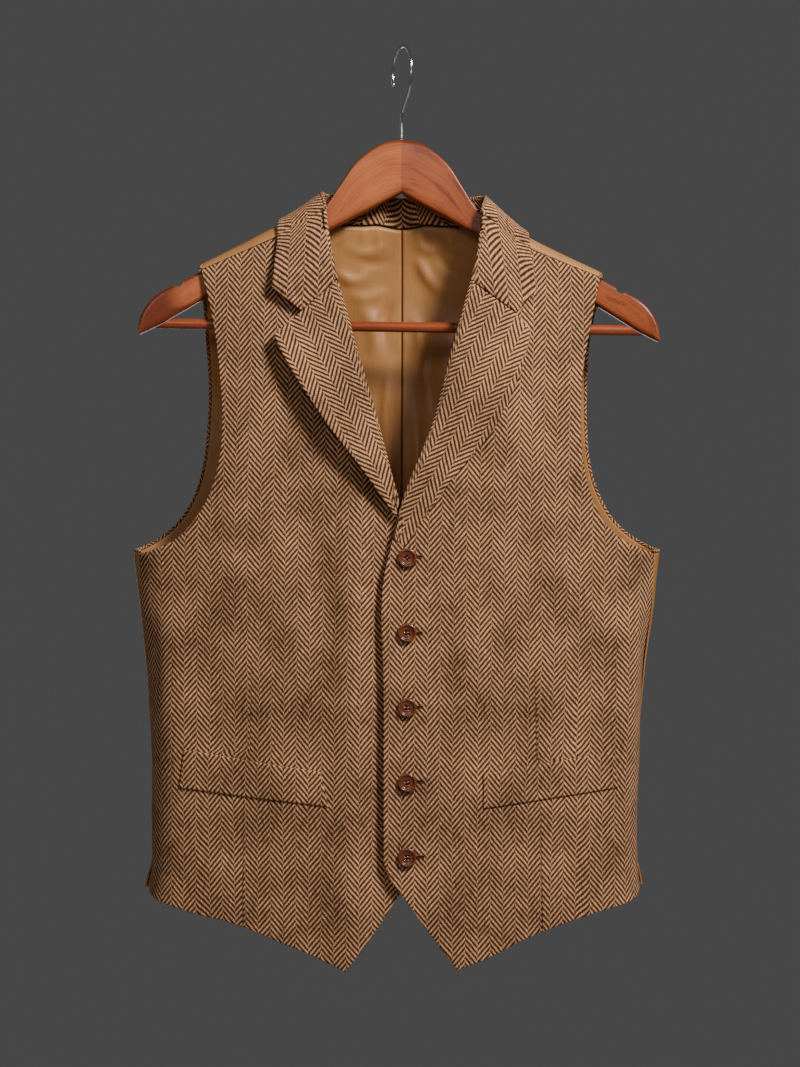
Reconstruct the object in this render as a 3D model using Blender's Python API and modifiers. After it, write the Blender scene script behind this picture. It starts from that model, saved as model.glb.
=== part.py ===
"""A suit waistcoat hanging on a contoured wooden hanger.

The frame: +X to the right of someone who faces the waistcoat, +Y away from them, +Z up.
The origin is where the hook bears on a rail, at the inner top of the hook.

The cloth is laid out on one body form. A place on the form is named by its pattern
coordinates: how far round the body it is from the centre front, how high it is, and how far
it stands out from the cloth's outer face. The form is an oval tube below the arms. Above
them its front and its back each lean in to the shoulder ridge, and pass over it in an arc.

Lengths are in millimetres up to the point where a mesh is made, and MM makes them metres.
"""

import math
from collections import namedtuple

import bmesh
import bpy
import numpy as np
from mathutils import Vector

MM = 0.001
LEFT, RIGHT = -1, 1
SIDE_NAMES = {LEFT: "left", RIGHT: "right"}

# ---------------------------------------------------------------- driving dimensions

CLOTH = 1.8                 # wall of the herringbone cloth and of the satin back
LINING = 1.2                # wall of the lining
SEAM_GAP = 0.3              # between pieces that are sewn together
LAYER_GAP = 0.5             # between layers that lie on each other
RIDGE_RADIUS = 10.5         # the cloth's arc over the hanger's arms, at its outer face
BLEND_HEIGHT = 120.0        # below the ridge, where the form takes its full depth
FRONT_BEND = math.radians(10)   # where the shallow front turns into the side bend
BACK_BEND = math.radians(7)

Section = namedtuple("Section", "height half_width front_depth back_depth shift seam_lead")
SECTIONS = [
    # seam_lead: how far the side seam lies in front of the widest place
    Section(-90, 229, 40, 31, 0.0, 20),
    Section(-250, 229, 44, 34, -1.0, 20),
    Section(-360, 229, 46, 36, -3.0, 20),
    Section(-438, 227.8, 47, 38, -4.5, 20),
    Section(-486, 222.3, 47, 37, -4.8, 11),
    Section(-531, 216.5, 47, 35, -5.2, 6),
    Section(-598, 211.9, 47, 33, -5.8, -2),
    Section(-661, 210.2, 47, 33, -6.3, -3),
    Section(-705, 210.4, 47, 34, -6.2, -3),
    Section(-735, 213.0, 48, 35, -6.2, -3),
    Section(-800, 215.0, 48, 36, -6.2, -3),
]

# The shoulder ridge, the highest line of the cloth, also where the neck is cut out of it.
RidgePoint = namedtuple("RidgePoint", "across height")
RIDGE = [
    RidgePoint(-240, -225), RidgePoint(-174, -190.0), RidgePoint(-140, -172.3),
    RidgePoint(-107, -154.8), RidgePoint(-65, -133.5), RidgePoint(-35, -117.5),
    RidgePoint(-17, -107), RidgePoint(0, -103), RidgePoint(17, -107),
    RidgePoint(35, -118), RidgePoint(65, -136.0), RidgePoint(109, -165.0),
    RidgePoint(140, -181.0), RidgePoint(171, -196.0), RidgePoint(240, -231),
]
SHOULDER_TIP = {LEFT: 172.0, RIGHT: 170.0}
SEAM_DROP_NECK = 20.0       # the shoulder seam lies this far in front of the ridge
SEAM_DROP_TIP = 11.2

# The edges of a front, each as (across, height), mirrored for the left.
HEM_POINT = {LEFT: (48.0, -792.5), RIGHT: (47.0, -791.5)}
CUTAWAY_TOP = {LEFT: (-13.0, -701.0), RIGHT: (-15.7, -701.0)}
CUTAWAY_ROUND = {LEFT: [(22.9, -760.0), (3.0, -729.5), (-8.0, -713.0)],
                 RIGHT: [(22.9, -760.0), (0.0, -728.2), (-9.3, -715.5)]}
LAP_TOP = {LEFT: [(-13.0, -560.0), (-12.0, -440.0), (-7.0, -415.0)],
           RIGHT: [(-15.7, -560.0), (-14.4, -452.0), (-8.0, -425.0)]}
BREAK_POINT = {LEFT: (1.0, -396.0), RIGHT: (-1.0, -396.0)}
ROLL_LINE = {LEFT: [(20.4, -324.6), (34.8, -274.5), (43.4, -243.7)],
             RIGHT: [(26.3, -324.6), (42.5, -260.8), (50.2, -233.5)]}
GORGE_INNER = {LEFT: (54.5, -204.4), RIGHT: (57.9, -205.3)}

HemPoint = namedtuple("HemPoint", "across left right")
FRONT_HEM = [
    HemPoint(75, -780.0, -780.8), HemPoint(105, -768.0, -766.0),
    HemPoint(140, -754.2, -752.8), HemPoint(177, -745.2, -741.5),
    HemPoint(200, -739.0, -734.5),
]
SIDE_HEM_HEIGHT = {LEFT: -728.5, RIGHT: -725.5}
BACK_HEM_CENTRE = -733.0
VENT_HEIGHT = 34.0          # the side seams are open below this, and the back flares out
VENT_FLARE = {LEFT: 5.0, RIGHT: 3.5}

ArmholePoint = namedtuple("ArmholePoint", "height front_left front_right back_left back_right")
ARMHOLE = [
    ArmholePoint(-434, 210.5, 205.5, 225.0, 216.0),
    ArmholePoint(-425, 192.5, 187.0, 209.0, 200.5),
    ArmholePoint(-410, 178.0, 172.5, 193.0, 184.0),
    ArmholePoint(-388, 165.0, 161.5, 180.0, 171.5),
    ArmholePoint(-360, 156.6, 154.5, 172.0, 163.0),
    ArmholePoint(-325, 153.6, 152.5, 168.0, 160.0),
    ArmholePoint(-290, 155.4, 153.8, 167.0, 160.0),
    ArmholePoint(-250, 160.0, 160.2, 169.0, 162.0),
]
UNDERARM_HEIGHT = -438.5
BINDING_WIDTH = 3.0
BINDING_THICK = 3.0
UNDERARM_GAP = 0.8          # more room between binding and back where the cloth bends most

# The collar, from the gorge over the ridge to the centre back. Each line of it is given by
# how far across it is and how far in front of the ridge it is, measured along the cloth.
CollarStation = namedtuple(
    "CollarStation", "roll roll_front rise edge edge_front seam seam_front")
COLLAR_LEFT = [
    CollarStation(54.5, 82.4, 3.0, 109.7, 63.0, 59.0, 79.0),
    CollarStation(58.7, 58.6, 4.0, 108.2, 41.0, 66.5, 50.0),
    CollarStation(62.4, 35.2, 5.6, 107.3, 22.3, 74.0, 25.5),
    CollarStation(64.3, 13.1, 7.6, 107.0, 10.0, 79.0, 10.0),
    CollarStation(64.5, 0.0, 9.5, 105.0, -5.0, 79.5, -2.0),
]
COLLAR_RIGHT = [
    CollarStation(57.9, 79.5, 3.0, 115.8, 48.6, 62.5, 75.8),
    CollarStation(62.2, 60.3, 4.2, 112.8, 33.0, 70.0, 47.0),
    CollarStation(65.2, 37.4, 6.0, 110.5, 21.2, 76.5, 25.2),
    CollarStation(66.8, 15.0, 8.4, 109.0, 10.0, 80.5, 10.0),
    CollarStation(66.0, 0.0, 10.5, 106.0, -5.0, 81.5, -2.0),
]
COLLAR_BACK = [
    CollarStation(59.0, -6.5, 10.0, 94.0, -24.0, 73.0, -16.0),
    CollarStation(45.0, -12.5, 9.5, 70.0, -43.0, 54.0, -30.0),
    CollarStation(24.0, -21.0, 8.5, 37.0, -64.0, 28.0, -45.0),
]
COLLAR_CENTRE = CollarStation(0.0, -32.5, 8.0, 0.0, -82.0, 0.0, -58.0)
NOTCH_INNER = {LEFT: (85.0, -232.8), RIGHT: (96.9, -233.5)}
FOLD_RADIUS = 2.3           # of the collar's roll, at its outer face
FALL_RISE = 3.6             # how far the fall's outer edge stands off the cloth

LAPEL_TIP = {LEFT: (103.2, -249.8), RIGHT: (109.5, -248.2)}
LAPEL_EDGE = {LEFT: [(97.1, -268.5), (87.8, -288.0), (65.0, -325.2), (35.0, -365.0)],
              RIGHT: [(106.0, -266.2), (98.3, -290.0), (82.2, -324.8), (39.0, -379.9)]}
LAPEL_BREAK = {LEFT: (2.4, -394.2), RIGHT: (-0.6, -396.4)}
LAPEL_FOOT = {LEFT: (4.8, -407.0), RIGHT: (5.9, -428.2)}
LAPEL_RISE = CLOTH + LAYER_GAP + 0.3
LAPEL_STANDOFF = {LEFT: 11.0, RIGHT: 0.0}     # how far the outer edge springs off the front

Welt = namedtuple("Welt", "top_inner top_outer bottom_outer bottom_inner")
WELTS = {LEFT: Welt((69.6, -623.4), (185.9, -605.7), (190.5, -638.3), (62.0, -653.1)),
         RIGHT: Welt((68.7, -625.1), (181.0, -607.3), (184.5, -638.2), (69.2, -654.8))}
WELT_THICK = 1.5
WELT_GAP = 0.4

BUTTON_COUNT = 5
BUTTON_ACROSS = 4.3
BUTTON_TOP = -441.6
BUTTON_PITCH = 63.5
BUTTON_RADIUS = 8.1
BUTTON_THICK = 3.2
BUTTON_GAP = 1.2            # the thread shank's length
BUTTON_HOLE = 0.85          # radius of each of the four holes
BUTTON_HOLE_OFFSET = 1.55

UNDERLAP_DEPTH = 3.2        # the left front passes this far behind the right one
UNDERLAP_START, UNDERLAP_END = 62.0, 26.0

HANGER_TOP = [(0, -80), (14, -82.2), (28, -90), (40, -100.5), (51.5, -117.5), (64.5, -137.5),
              (80, -152.5), (107, -168.5), (140, -184.0), (173, -199.5), (190, -208.8),
              (204.2, -216.3), (212.5, -223.1), (218.6, -231.5), (222.6, -241.0),
              (224.0, -250.6)]
HANGER_UNDER = [(0, -126.5), (62.7, -161.0), (115, -191.0), (169, -222.3), (191.6, -236.2),
                (208, -246.1), (222.2, -253.4)]
HANGER_THICK = 12.0
HANGER_ROUND = 2.6
HANGER_TILT = math.radians(0.87)
HANGER_CROWN = -80.0
CONTOUR_SLOPE, CONTOUR_CURVE = 0.05, 0.00022   # how the arms sweep forward
STRAP_NOTCH = (191.0, -206.6)
STRAP_NOTCH_RADIUS = 5.6
BAR_RADIUS = 4.5
BAR_HEIGHT = -243.6
BAR_FORWARD = 19.0

HOOK_WIRE = 1.4             # radius of the wire
HOOK_LOOP = 21.4            # radius of the loop, at the wire's middle
HOOK_TURN = math.radians(22)
HOOK_NECK = [(20.3, -31.5), (14.6, -42.0), (6.2, -50.5), (1.2, -56.0), (0.0, -61.0),
             (0.0, -79.6)]

# The grids of the sheets. Front and back each have a body grid, which ends in a line from the
# centre to the armhole and then along the underarm, and a chest grid above that line. The
# back's chest grid ends at a ledge behind the ridge, where its lining ends too, and a strap
# grid goes on from there over the ridge to the shoulder seam.
LEDGE = 20.0
UNDERARM_TOP = -408.0
ROWS_HEM, ROWS_LAP, ROWS_ROLL, ROWS_NECK = 3, 7, 6, 4
ROWS_CHEST_BACK, ROWS_STRAP = 8, 7
FRONT_TOP_ROWS = [14.0, 7.0]
COLUMNS_FRONT, COLUMNS_UNDERARM = 9, 7
COLUMNS_NECK, COLUMNS_SHOULDER = 5, 6
COLUMNS_FALL = 4
COLLAR_GAP = 1.4            # from a neck edge to the collar's stand
LINING_GAP = 1.0            # from the back to its lining
LAPEL_GAP = 0.9             # from the collar to a lapel
LAPEL_ROWS, LAPEL_COLUMNS = 14, 5
WELT_COLUMNS = 8

# ---------------------------------------------------------------- curves and tables


def smooth_value(places, values, at):
    """Read a table at any place, on a smooth curve through its rows."""
    order = np.argsort(places)
    x = np.asarray(places, float)[order]
    y = np.asarray(values, float)[order]
    slope = np.gradient(y, x)
    at = np.clip(np.asarray(at, float), x[0], x[-1])
    i = np.clip(np.searchsorted(x, at) - 1, 0, len(x) - 2)
    step = x[i + 1] - x[i]
    t = (at - x[i]) / step
    return (y[i] * (1 + 2 * t) * (1 - t) ** 2 + slope[i] * step * t * (1 - t) ** 2
            + y[i + 1] * t * t * (3 - 2 * t) - slope[i + 1] * step * t * t * (1 - t))


def column(rows, name):
    return [getattr(row, name) for row in rows]


def smooth_curve(points, count):
    """Points evenly spaced along a smooth curve through the given ones."""
    points = np.array(points, float)
    chord = np.r_[0, np.cumsum(np.linalg.norm(np.diff(points, axis=0), axis=1))]
    dense = np.linspace(0, chord[-1], 40 * len(points))
    if len(points) > 2:
        fine = np.stack([smooth_value(chord, points[:, k], dense)
                         for k in range(points.shape[1])], axis=1)
    else:
        fine = points[0] + (points[1] - points[0]) * (dense / chord[-1])[:, None]
    return resample(fine, np.linspace(0, 1, count + 1))


def resample(points, fractions):
    """Points at the given fractions of a polyline's length."""
    points = np.asarray(points, float)
    length = np.r_[0, np.cumsum(np.linalg.norm(np.diff(points, axis=0), axis=1))]
    return np.stack([np.interp(np.asarray(fractions) * length[-1], length, points[:, k])
                     for k in range(points.shape[1])], axis=1)


def chain(*curves):
    """Join curves that share their end points."""
    return np.concatenate([curves[0]] + [curve[1:] for curve in curves[1:]])


def ease(start, end, value):
    t = np.clip((np.asarray(value, float) - start) / (end - start), 0, 1)
    return t * t * (3 - 2 * t)


def coons(bottom, top, inner, outer, across, up):
    """Fill four edges with a grid. The first index goes up, the second goes across."""
    u = np.asarray(across)[None, :, None]
    v = np.asarray(up)[:, None, None]
    ruled_up = bottom[None] * (1 - v) + top[None] * v
    ruled_across = inner[:, None] * (1 - u) + outer[:, None] * u
    corners = (bottom[0] * (1 - u) * (1 - v) + bottom[-1] * u * (1 - v)
               + top[0] * (1 - u) * v + top[-1] * u * v)
    return ruled_up + ruled_across - corners


# ---------------------------------------------------------------- the body form


def form_value(name, height):
    return smooth_value(column(SECTIONS, "height"), column(SECTIONS, name), height)


def arcs(half_width, depth, bend_start):
    """The two radii of a quarter section: the shallow arc's and the side bend's."""
    sine, cosine = math.sin(bend_start), math.cos(bend_start)
    scale = sine * cosine - (1 - sine) * (1 - cosine)
    shallow = (half_width * cosine - depth * (1 - sine)) / scale
    bend = (depth * sine - half_width * (1 - cosine)) / scale
    return shallow, bend


def quarter_length(half_width, depth, bend_start):
    shallow, bend = arcs(half_width, depth, bend_start)
    return shallow * bend_start + bend * (math.pi / 2 - bend_start)


def quarter_point(half_width, depth, bend_start, along):
    """Across and depth of a place on a quarter section, along it from the centre line."""
    shallow, bend = arcs(half_width, depth, bend_start)
    sine, cosine = math.sin(bend_start), math.cos(bend_start)
    turn = along / shallow
    angle = bend_start + (along - shallow * bend_start) / bend
    flat = along < shallow * bend_start
    across = np.where(flat, shallow * np.sin(turn),
                      shallow * sine + bend * (np.sin(angle) - sine))
    inward = np.where(flat, shallow * (1 - np.cos(turn)),
                      shallow * (1 - cosine) + bend * (cosine - np.cos(angle)))
    return across, depth - inward


def quarter_along(half_width, depth, bend_start, across):
    """The inverse of quarter_point: how far along the section a place across it is."""
    shallow, bend = arcs(half_width, depth, bend_start)
    sine = math.sin(bend_start)
    flat = across < shallow * sine
    turn = np.arcsin(np.clip(across / shallow, -1, 1))
    angle = np.arcsin(np.clip((across - shallow * sine) / bend + sine, -1, 1))
    return np.where(flat, shallow * turn,
                    shallow * bend_start + bend * (angle - bend_start))


def ridge_height(across):
    return smooth_value(column(RIDGE, "across"), column(RIDGE, "height"), across)


def contour(across):
    """How far back the hanger's middle plane is: the arms sweep forward."""
    reach = np.abs(across)
    return -(CONTOUR_SLOPE * reach + CONTOUR_CURVE * reach ** 2)


def front_quarter(height):
    return quarter_length(form_value("half_width", height), form_value("front_depth", height),
                          FRONT_BEND)


def back_quarter(height):
    return quarter_length(form_value("half_width", height), form_value("back_depth", height),
                          BACK_BEND)


def form_face(side, around, height):
    """A place on the cloth's outer face, by its pattern coordinates."""
    around = np.asarray(around, float)
    height = np.asarray(height, float)
    width = form_value("half_width", height)
    front = form_value("front_depth", height)
    back = form_value("back_depth", height)
    front_length = quarter_length(width, front, FRONT_BEND)
    on_front = around <= front_length
    across_f, depth_f = quarter_point(width, front, FRONT_BEND, around)
    from_back = front_length + quarter_length(width, back, BACK_BEND) - around
    across_b, depth_b = quarter_point(width, back, BACK_BEND, from_back)
    x = form_value("shift", height) + side * np.where(on_front, across_f, across_b)
    away = np.where(on_front, -1.0, 1.0)
    full_depth = away * np.where(on_front, depth_f, depth_b)
    top = ridge_height(x)
    arc_foot = top - RIDGE_RADIUS
    middle = contour(x)
    below = np.clip((arc_foot - height) / BLEND_HEIGHT, 0, 1)
    fullness = 1 - (1 - below) ** 2
    lean = middle + away * RIDGE_RADIUS
    y_plain = lean + (full_depth - lean) * fullness
    turn = np.maximum(height - arc_foot, 0) / RIDGE_RADIUS
    y_arc = middle + away * RIDGE_RADIUS * np.cos(turn)
    z_arc = arc_foot + RIDGE_RADIUS * np.sin(turn)
    over = height > arc_foot
    return np.stack([x, np.where(over, y_arc, y_plain), np.where(over, z_arc, height)], axis=-1)


def form_point(side, around, height, out=0.0):
    """A place on the form, moved out of the cloth's outer face by a distance."""
    place = form_face(side, around, height)
    step = 0.5
    along = form_face(side, np.asarray(around) + step, height) \
        - form_face(side, np.asarray(around) - step, height)
    up = form_face(side, around, np.asarray(height) + step) \
        - form_face(side, around, np.asarray(height) - step)
    normal = np.cross(along, up) * side
    normal /= np.linalg.norm(normal, axis=-1, keepdims=True)
    return place + normal * np.asarray(out)[..., None]


def front_pattern(side, points):
    """Pattern coordinates of places on a front, given as (across, height)."""
    across, height = np.moveaxis(np.atleast_2d(np.asarray(points, float)), -1, 0)
    width = form_value("half_width", height)
    depth = form_value("front_depth", height)
    across = across - side * form_value("shift", height)
    return np.stack([quarter_along(width, depth, FRONT_BEND, across), height], axis=-1)


def back_pattern(side, points):
    """Pattern coordinates of places on the back, given as (across, height)."""
    across, height = np.moveaxis(np.atleast_2d(np.asarray(points, float)), -1, 0)
    width = form_value("half_width", height)
    depth = form_value("back_depth", height)
    across = across - side * form_value("shift", height)
    around = front_quarter(height) + back_quarter(height) \
        - quarter_along(width, depth, BACK_BEND, across)
    return np.stack([around, height], axis=-1)


def ridge_pattern_height(side, across):
    """The pattern height of the ridge, measured up the cloth."""
    return ridge_height(side * np.asarray(across)) + RIDGE_RADIUS * (math.pi / 2 - 1)


# ---------------------------------------------------------------- edges that pieces share


def side_seam(side, count):
    """The side seam from the hem up to the underarm."""
    height = np.linspace(SIDE_HEM_HEIGHT[side], UNDERARM_HEIGHT, count + 1)
    return np.stack([front_quarter(height) - form_value("seam_lead", height), height], axis=1)


def from_ridge(side, across, front):
    """Pattern coordinates of a place that is given by its distance from the ridge."""
    across = np.asarray(across, float)
    front = np.asarray(front, float)
    height = ridge_pattern_height(side, across) - np.abs(front)
    points = np.stack([across, height], axis=-1)
    return np.where((front >= 0)[..., None], front_pattern(side, points),
                    back_pattern(side, points))


def over_ridge(side, across, front):
    """The same for the back, whose pattern goes on over the ridge to its front side."""
    ridge = ridge_pattern_height(side, across)
    points = np.stack([across, ridge + np.minimum(front, 0)], axis=-1)
    around = back_pattern(side, points)[..., 0]
    return np.stack([around, ridge + front], axis=-1)


def collar_at(side, places):
    """The collar's seam, roll and outer edge at places counted along its stations."""
    stations = (COLLAR_LEFT if side == LEFT else COLLAR_RIGHT) + COLLAR_BACK
    beyond = COLLAR_BACK[-1]
    beyond = beyond._replace(roll=-beyond.roll, edge=-beyond.edge, seam=-beyond.seam)
    stations = stations + [COLLAR_CENTRE, beyond]
    count = np.arange(len(stations))
    lines = []
    for names in (("seam", "seam_front"), ("roll", "roll_front", "rise"),
                  ("edge", "edge_front")):
        values = [smooth_value(count, column(stations, name), places) for name in names]
        lines.append(np.stack(values, axis=-1))
    return lines


def collar_places(side):
    """Rows of the collar up the front's neck, over the ridge, and along the back's neck."""
    centre = len(COLLAR_LEFT) + len(COLLAR_BACK)
    fine = np.linspace(0, centre, 3000)
    front = collar_at(side, fine)[0][:, 1]
    corner = fine[np.argmin(np.abs(front - SEAM_DROP_NECK))]
    ledge = fine[np.argmin(np.abs(front + LEDGE))]
    return (np.linspace(0, corner, ROWS_NECK + 1), np.linspace(corner, ledge, ROWS_STRAP + 1),
            np.linspace(ledge, centre, COLUMNS_NECK + 1))


def shoulder_seam(side, fractions):
    """The shoulder seam from the neck to the tip, as (across, distance from the ridge)."""
    fractions = np.asarray(fractions)
    corner = collar_at(side, collar_places(side)[1][:1])[0][0, 0]
    across = corner + (SHOULDER_TIP[side] - corner) * fractions
    drop = SEAM_DROP_NECK + (SEAM_DROP_TIP - SEAM_DROP_NECK) * fractions
    return across, drop


# ---------------------------------------------------------------- Blender helpers


def clear_scene():
    for item in list(bpy.data.objects):
        bpy.data.objects.remove(item, do_unlink=True)


def material(name, color, roughness, metallic=0.0):
    made = bpy.data.materials.get(name)
    if made is None:
        made = bpy.data.materials.new(name)
        made.use_nodes = True
        shader = made.node_tree.nodes["Principled BSDF"]
        shader.inputs["Base Color"].default_value = (*color, 1.0)
        shader.inputs["Roughness"].default_value = roughness
        shader.inputs["Metallic"].default_value = metallic
    return made


def tweed():
    return material("herringbone", (0.255, 0.127, 0.070), 0.92)


def satin():
    return material("satin", (0.380, 0.182, 0.076), 0.42)


def wood():
    return material("stained_wood", (0.330, 0.085, 0.032), 0.32)


def steel():
    return material("bright_steel", (0.62, 0.62, 0.62), 0.18, 1.0)


def horn():
    return material("brown_horn", (0.150, 0.045, 0.018), 0.3)


def add_object(name, mesh, finish, collection, smooth=True):
    item = bpy.data.objects.new(name, mesh)
    mesh.materials.clear()
    mesh.materials.append(finish)
    if smooth:
        mesh.shade_smooth()
    collection.objects.link(item)
    return item


def quads(index):
    """The faces of a grid of vertex numbers."""
    return [(index[row, col], index[row, col + 1], index[row + 1, col + 1],
             index[row + 1, col])
            for row in range(index.shape[0] - 1) for col in range(index.shape[1] - 1)]


def cloth_piece(name, grids, flip, thickness, finish, collection, outwards=1):
    """A sheet of cloth over grids of points on its inner face, or its outer one for -1.

    Each grid after the first shares its first row with the last row of the one before it:
    with the start of that row, or with its end where this is asked for.
    """
    places, faces, last = [], [], None
    for points, at_end in grids:
        rows, columns = points.shape[:2]
        if last is None:
            index = np.arange(rows * columns).reshape(rows, columns)
            places = points.reshape(-1, 3)
        else:
            shared = last[-columns:] if at_end else last[:columns]
            more = len(places) + np.arange((rows - 1) * columns).reshape(rows - 1, columns)
            index = np.concatenate([shared[None], more])
            places = np.concatenate([places, points[1:].reshape(-1, 3)])
        faces += quads(index)
        last = index[-1]
    if flip:
        faces = [face[::-1] for face in faces]
    mesh = bpy.data.meshes.new(name)
    mesh.from_pydata((places * MM).tolist(), [], [[int(k) for k in face] for face in faces])
    mesh.update()
    item = add_object(name, mesh, finish, collection)
    wall = item.modifiers.new("Wall", "SOLIDIFY")
    wall.thickness = thickness * MM
    wall.offset = outwards
    wall.use_even_offset = False
    return item


# ---------------------------------------------------------------- the cloth


def spread_of(line):
    """How far along a polyline each of its points lies, as fractions of its length."""
    length = np.r_[0, np.cumsum(np.linalg.norm(np.diff(line, axis=0), axis=1))]
    return length / length[-1]


def height_fractions(inner, outer):
    """How far up its two side edges each row of a grid lies."""
    return (spread_of(inner) + spread_of(outer)) / 2


def split_at(line, height):
    """Cut a rising polyline in two at a height."""
    index = int(np.argmin(np.abs(line[:, 1] - height)))
    return line[:index + 1], line[index:]


def rows_up(line, rows, last):
    """Points up a line: evenly spaced, then at the given distances from its end."""
    length = np.linalg.norm(np.diff(line, axis=0), axis=1).sum()
    even = np.linspace(0, 1 - last[0] / length, rows + 1)
    return resample(line, np.r_[even, [1 - rest / length for rest in last[1:]], 1.0])


def body_grid(inner, hem, middle, underarm, outer):
    """The grid from the hem up to the line across the chest and the underarm."""
    top = chain(middle, underarm)
    across = spread_of(top)
    bottom = resample(hem, across)
    inner, outer = inner.copy(), outer.copy()
    top[0], top[-1] = inner[-1], outer[-1]
    bottom[0], bottom[-1] = inner[0], outer[0]
    return coons(bottom, top, inner, outer, across, height_fractions(inner, outer))


def front_grids(side):
    """The body grid and the chest grid of a front, in pattern coordinates."""
    cutaway = smooth_curve([HEM_POINT[side]] + CUTAWAY_ROUND[side] + [CUTAWAY_TOP[side]],
                           ROWS_HEM)
    lap = smooth_curve([CUTAWAY_TOP[side]] + LAP_TOP[side] + [BREAK_POINT[side]], ROWS_LAP)
    neck = collar_at(side, collar_places(side)[0])[0]
    neck_rows = from_ridge(side, neck[:, 0], neck[:, 1])
    roll = front_pattern(side, [BREAK_POINT[side]] + ROLL_LINE[side])
    inner_up = chain(smooth_curve([*roll, neck_rows[0]], ROWS_ROLL), neck_rows)
    inner = chain(front_pattern(side, cutaway), front_pattern(side, lap))
    inner_up[0] = inner[-1]

    fractions = np.linspace(0, 1, COLUMNS_FRONT + 1)
    seam_across, seam_drop = shoulder_seam(side, fractions)
    top = from_ridge(side, seam_across, seam_drop + SEAM_GAP / 2)
    seam = side_seam(side, ROWS_HEM + ROWS_LAP)
    seam[:, 0] -= SEAM_GAP / 2
    name = "front_" + SIDE_NAMES[side]
    places = front_pattern(side, [(getattr(row, name), row.height) for row in ARMHOLE])
    armhole = smooth_curve([seam[-1], *places, top[-1]], 600)
    below, above = split_at(armhole, UNDERARM_TOP)
    outer_up = rows_up(above, ROWS_ROLL + ROWS_NECK - len(FRONT_TOP_ROWS), FRONT_TOP_ROWS)
    underarm = resample(below[::-1], np.linspace(0, 1, COLUMNS_UNDERARM + 1))
    middle = resample(np.array([inner[-1], underarm[0]]), fractions)
    hem = [(row.across, getattr(row, SIDE_NAMES[side])) for row in FRONT_HEM]
    hem_curve = smooth_curve([inner[0], *front_pattern(side, hem), seam[0]], 200)
    body = body_grid(inner, hem_curve, middle, underarm, seam)
    inner_up[-1], outer_up[-1], outer_up[0] = top[0], top[-1], middle[-1]
    chest = coons(middle, top, inner_up, outer_up, fractions,
                  height_fractions(inner_up, outer_up))
    return body, chest


def underlap(around):
    """How far the left front is set back where it passes behind the right one."""
    return -UNDERLAP_DEPTH * ease(-UNDERLAP_START, -UNDERLAP_END, -around)


def front_out(side, around):
    return underlap(around) if side == LEFT else 0.0 * around


def front_panel(side, collection):
    grids = []
    for grid in front_grids(side):
        out = front_out(side, grid[..., 0]) - CLOTH
        grids.append((form_point(side, grid[..., 0], grid[..., 1], out), False))
    return cloth_piece("front_" + SIDE_NAMES[side], grids, side == LEFT, CLOTH, tweed(),
                       collection)


def back_grids(side):
    """The body, chest and strap grids of the back, in pattern coordinates."""
    neck_places = collar_places(side)
    shoulder = np.linspace(0, 1, COLUMNS_SHOULDER + 1)
    seam_across, seam_drop = shoulder_seam(side, shoulder)
    strap_top = over_ridge(side, seam_across, seam_drop - SEAM_GAP / 2)
    neck = collar_at(side, neck_places[2][::-1])[0]
    neck_line = over_ridge(side, neck[:, 0], neck[:, 1])
    neck_line[0, 0] -= SEAM_GAP / 2
    ledge_across = neck[-1, 0] + (SHOULDER_TIP[side] - 1.0 - neck[-1, 0]) * shoulder
    ledge = over_ridge(side, ledge_across, -LEDGE + 0.0 * shoulder)

    name = "back_" + SIDE_NAMES[side]
    seam = side_seam(side, ROWS_HEM + ROWS_LAP)
    seam[:, 0] += SEAM_GAP / 2
    places = back_pattern(side, [(getattr(row, name), row.height) for row in ARMHOLE])
    armhole = smooth_curve([seam[-1], *places, ledge[-1], strap_top[-1]], 900)
    below, above = split_at(armhole, UNDERARM_TOP)
    above, over = split_at(above, ledge[-1, 1])
    outer_up = resample(above, np.linspace(0, 1, ROWS_CHEST_BACK + 1))
    underarm = resample(below[::-1], np.linspace(0, 1, COLUMNS_UNDERARM + 1))

    top = chain(neck_line, ledge)
    top[-1] = outer_up[-1]
    height = np.linspace(BACK_HEM_CENTRE, top[0, 1], 400)
    centre = np.stack([front_quarter(height) + back_quarter(height)
                       + side * form_value("shift", height) - SEAM_GAP / 2, height], axis=1)
    low, high = split_at(centre, UNDERARM_TOP)
    inner = resample(low, np.linspace(0, 1, ROWS_HEM + ROWS_LAP + 1))
    inner_up = resample(high, np.linspace(0, 1, ROWS_CHEST_BACK + 1))
    top[0] = inner_up[-1]
    across = spread_of(top)
    middle = resample(np.array([inner[-1], underarm[0]]), across)
    outer_up[0] = middle[-1]
    body = body_grid(inner, np.array([inner[0], seam[0]]), middle, underarm, seam)
    chest = coons(middle, top, inner_up, outer_up, across,
                  height_fractions(inner_up, outer_up))

    neck_up = collar_at(side, neck_places[1][::-1])[0]
    strap_inner = over_ridge(side, neck_up[:, 0], neck_up[:, 1])
    strap_outer = resample(over, np.linspace(0, 1, ROWS_STRAP + 1))
    ledge = top[-COLUMNS_SHOULDER - 1:]
    strap_inner[0], strap_outer[0] = ledge[0], ledge[-1]
    strap_inner[-1], strap_outer[-1] = strap_top[0], strap_top[-1]
    strap = coons(ledge, strap_top, strap_inner, strap_outer, shoulder,
                  np.linspace(0, 1, ROWS_STRAP + 1))
    return body, chest, strap


def vent(side, around, height):
    """The back's hem corners flare out where the side seams are left open."""
    top = SIDE_HEM_HEIGHT[side] + VENT_HEIGHT
    near_seam = 1 - ease(0, 60, around - front_quarter(height))
    opening = 1 - ease(SIDE_HEM_HEIGHT[side], top, height)
    return VENT_FLARE[side] * opening * near_seam


def back_points(side, grid, depth):
    """Places at a depth behind the outer face of the back."""
    out = vent(side, grid[..., 0], grid[..., 1]) - depth
    return form_point(side, grid[..., 0], grid[..., 1], out)


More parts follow.
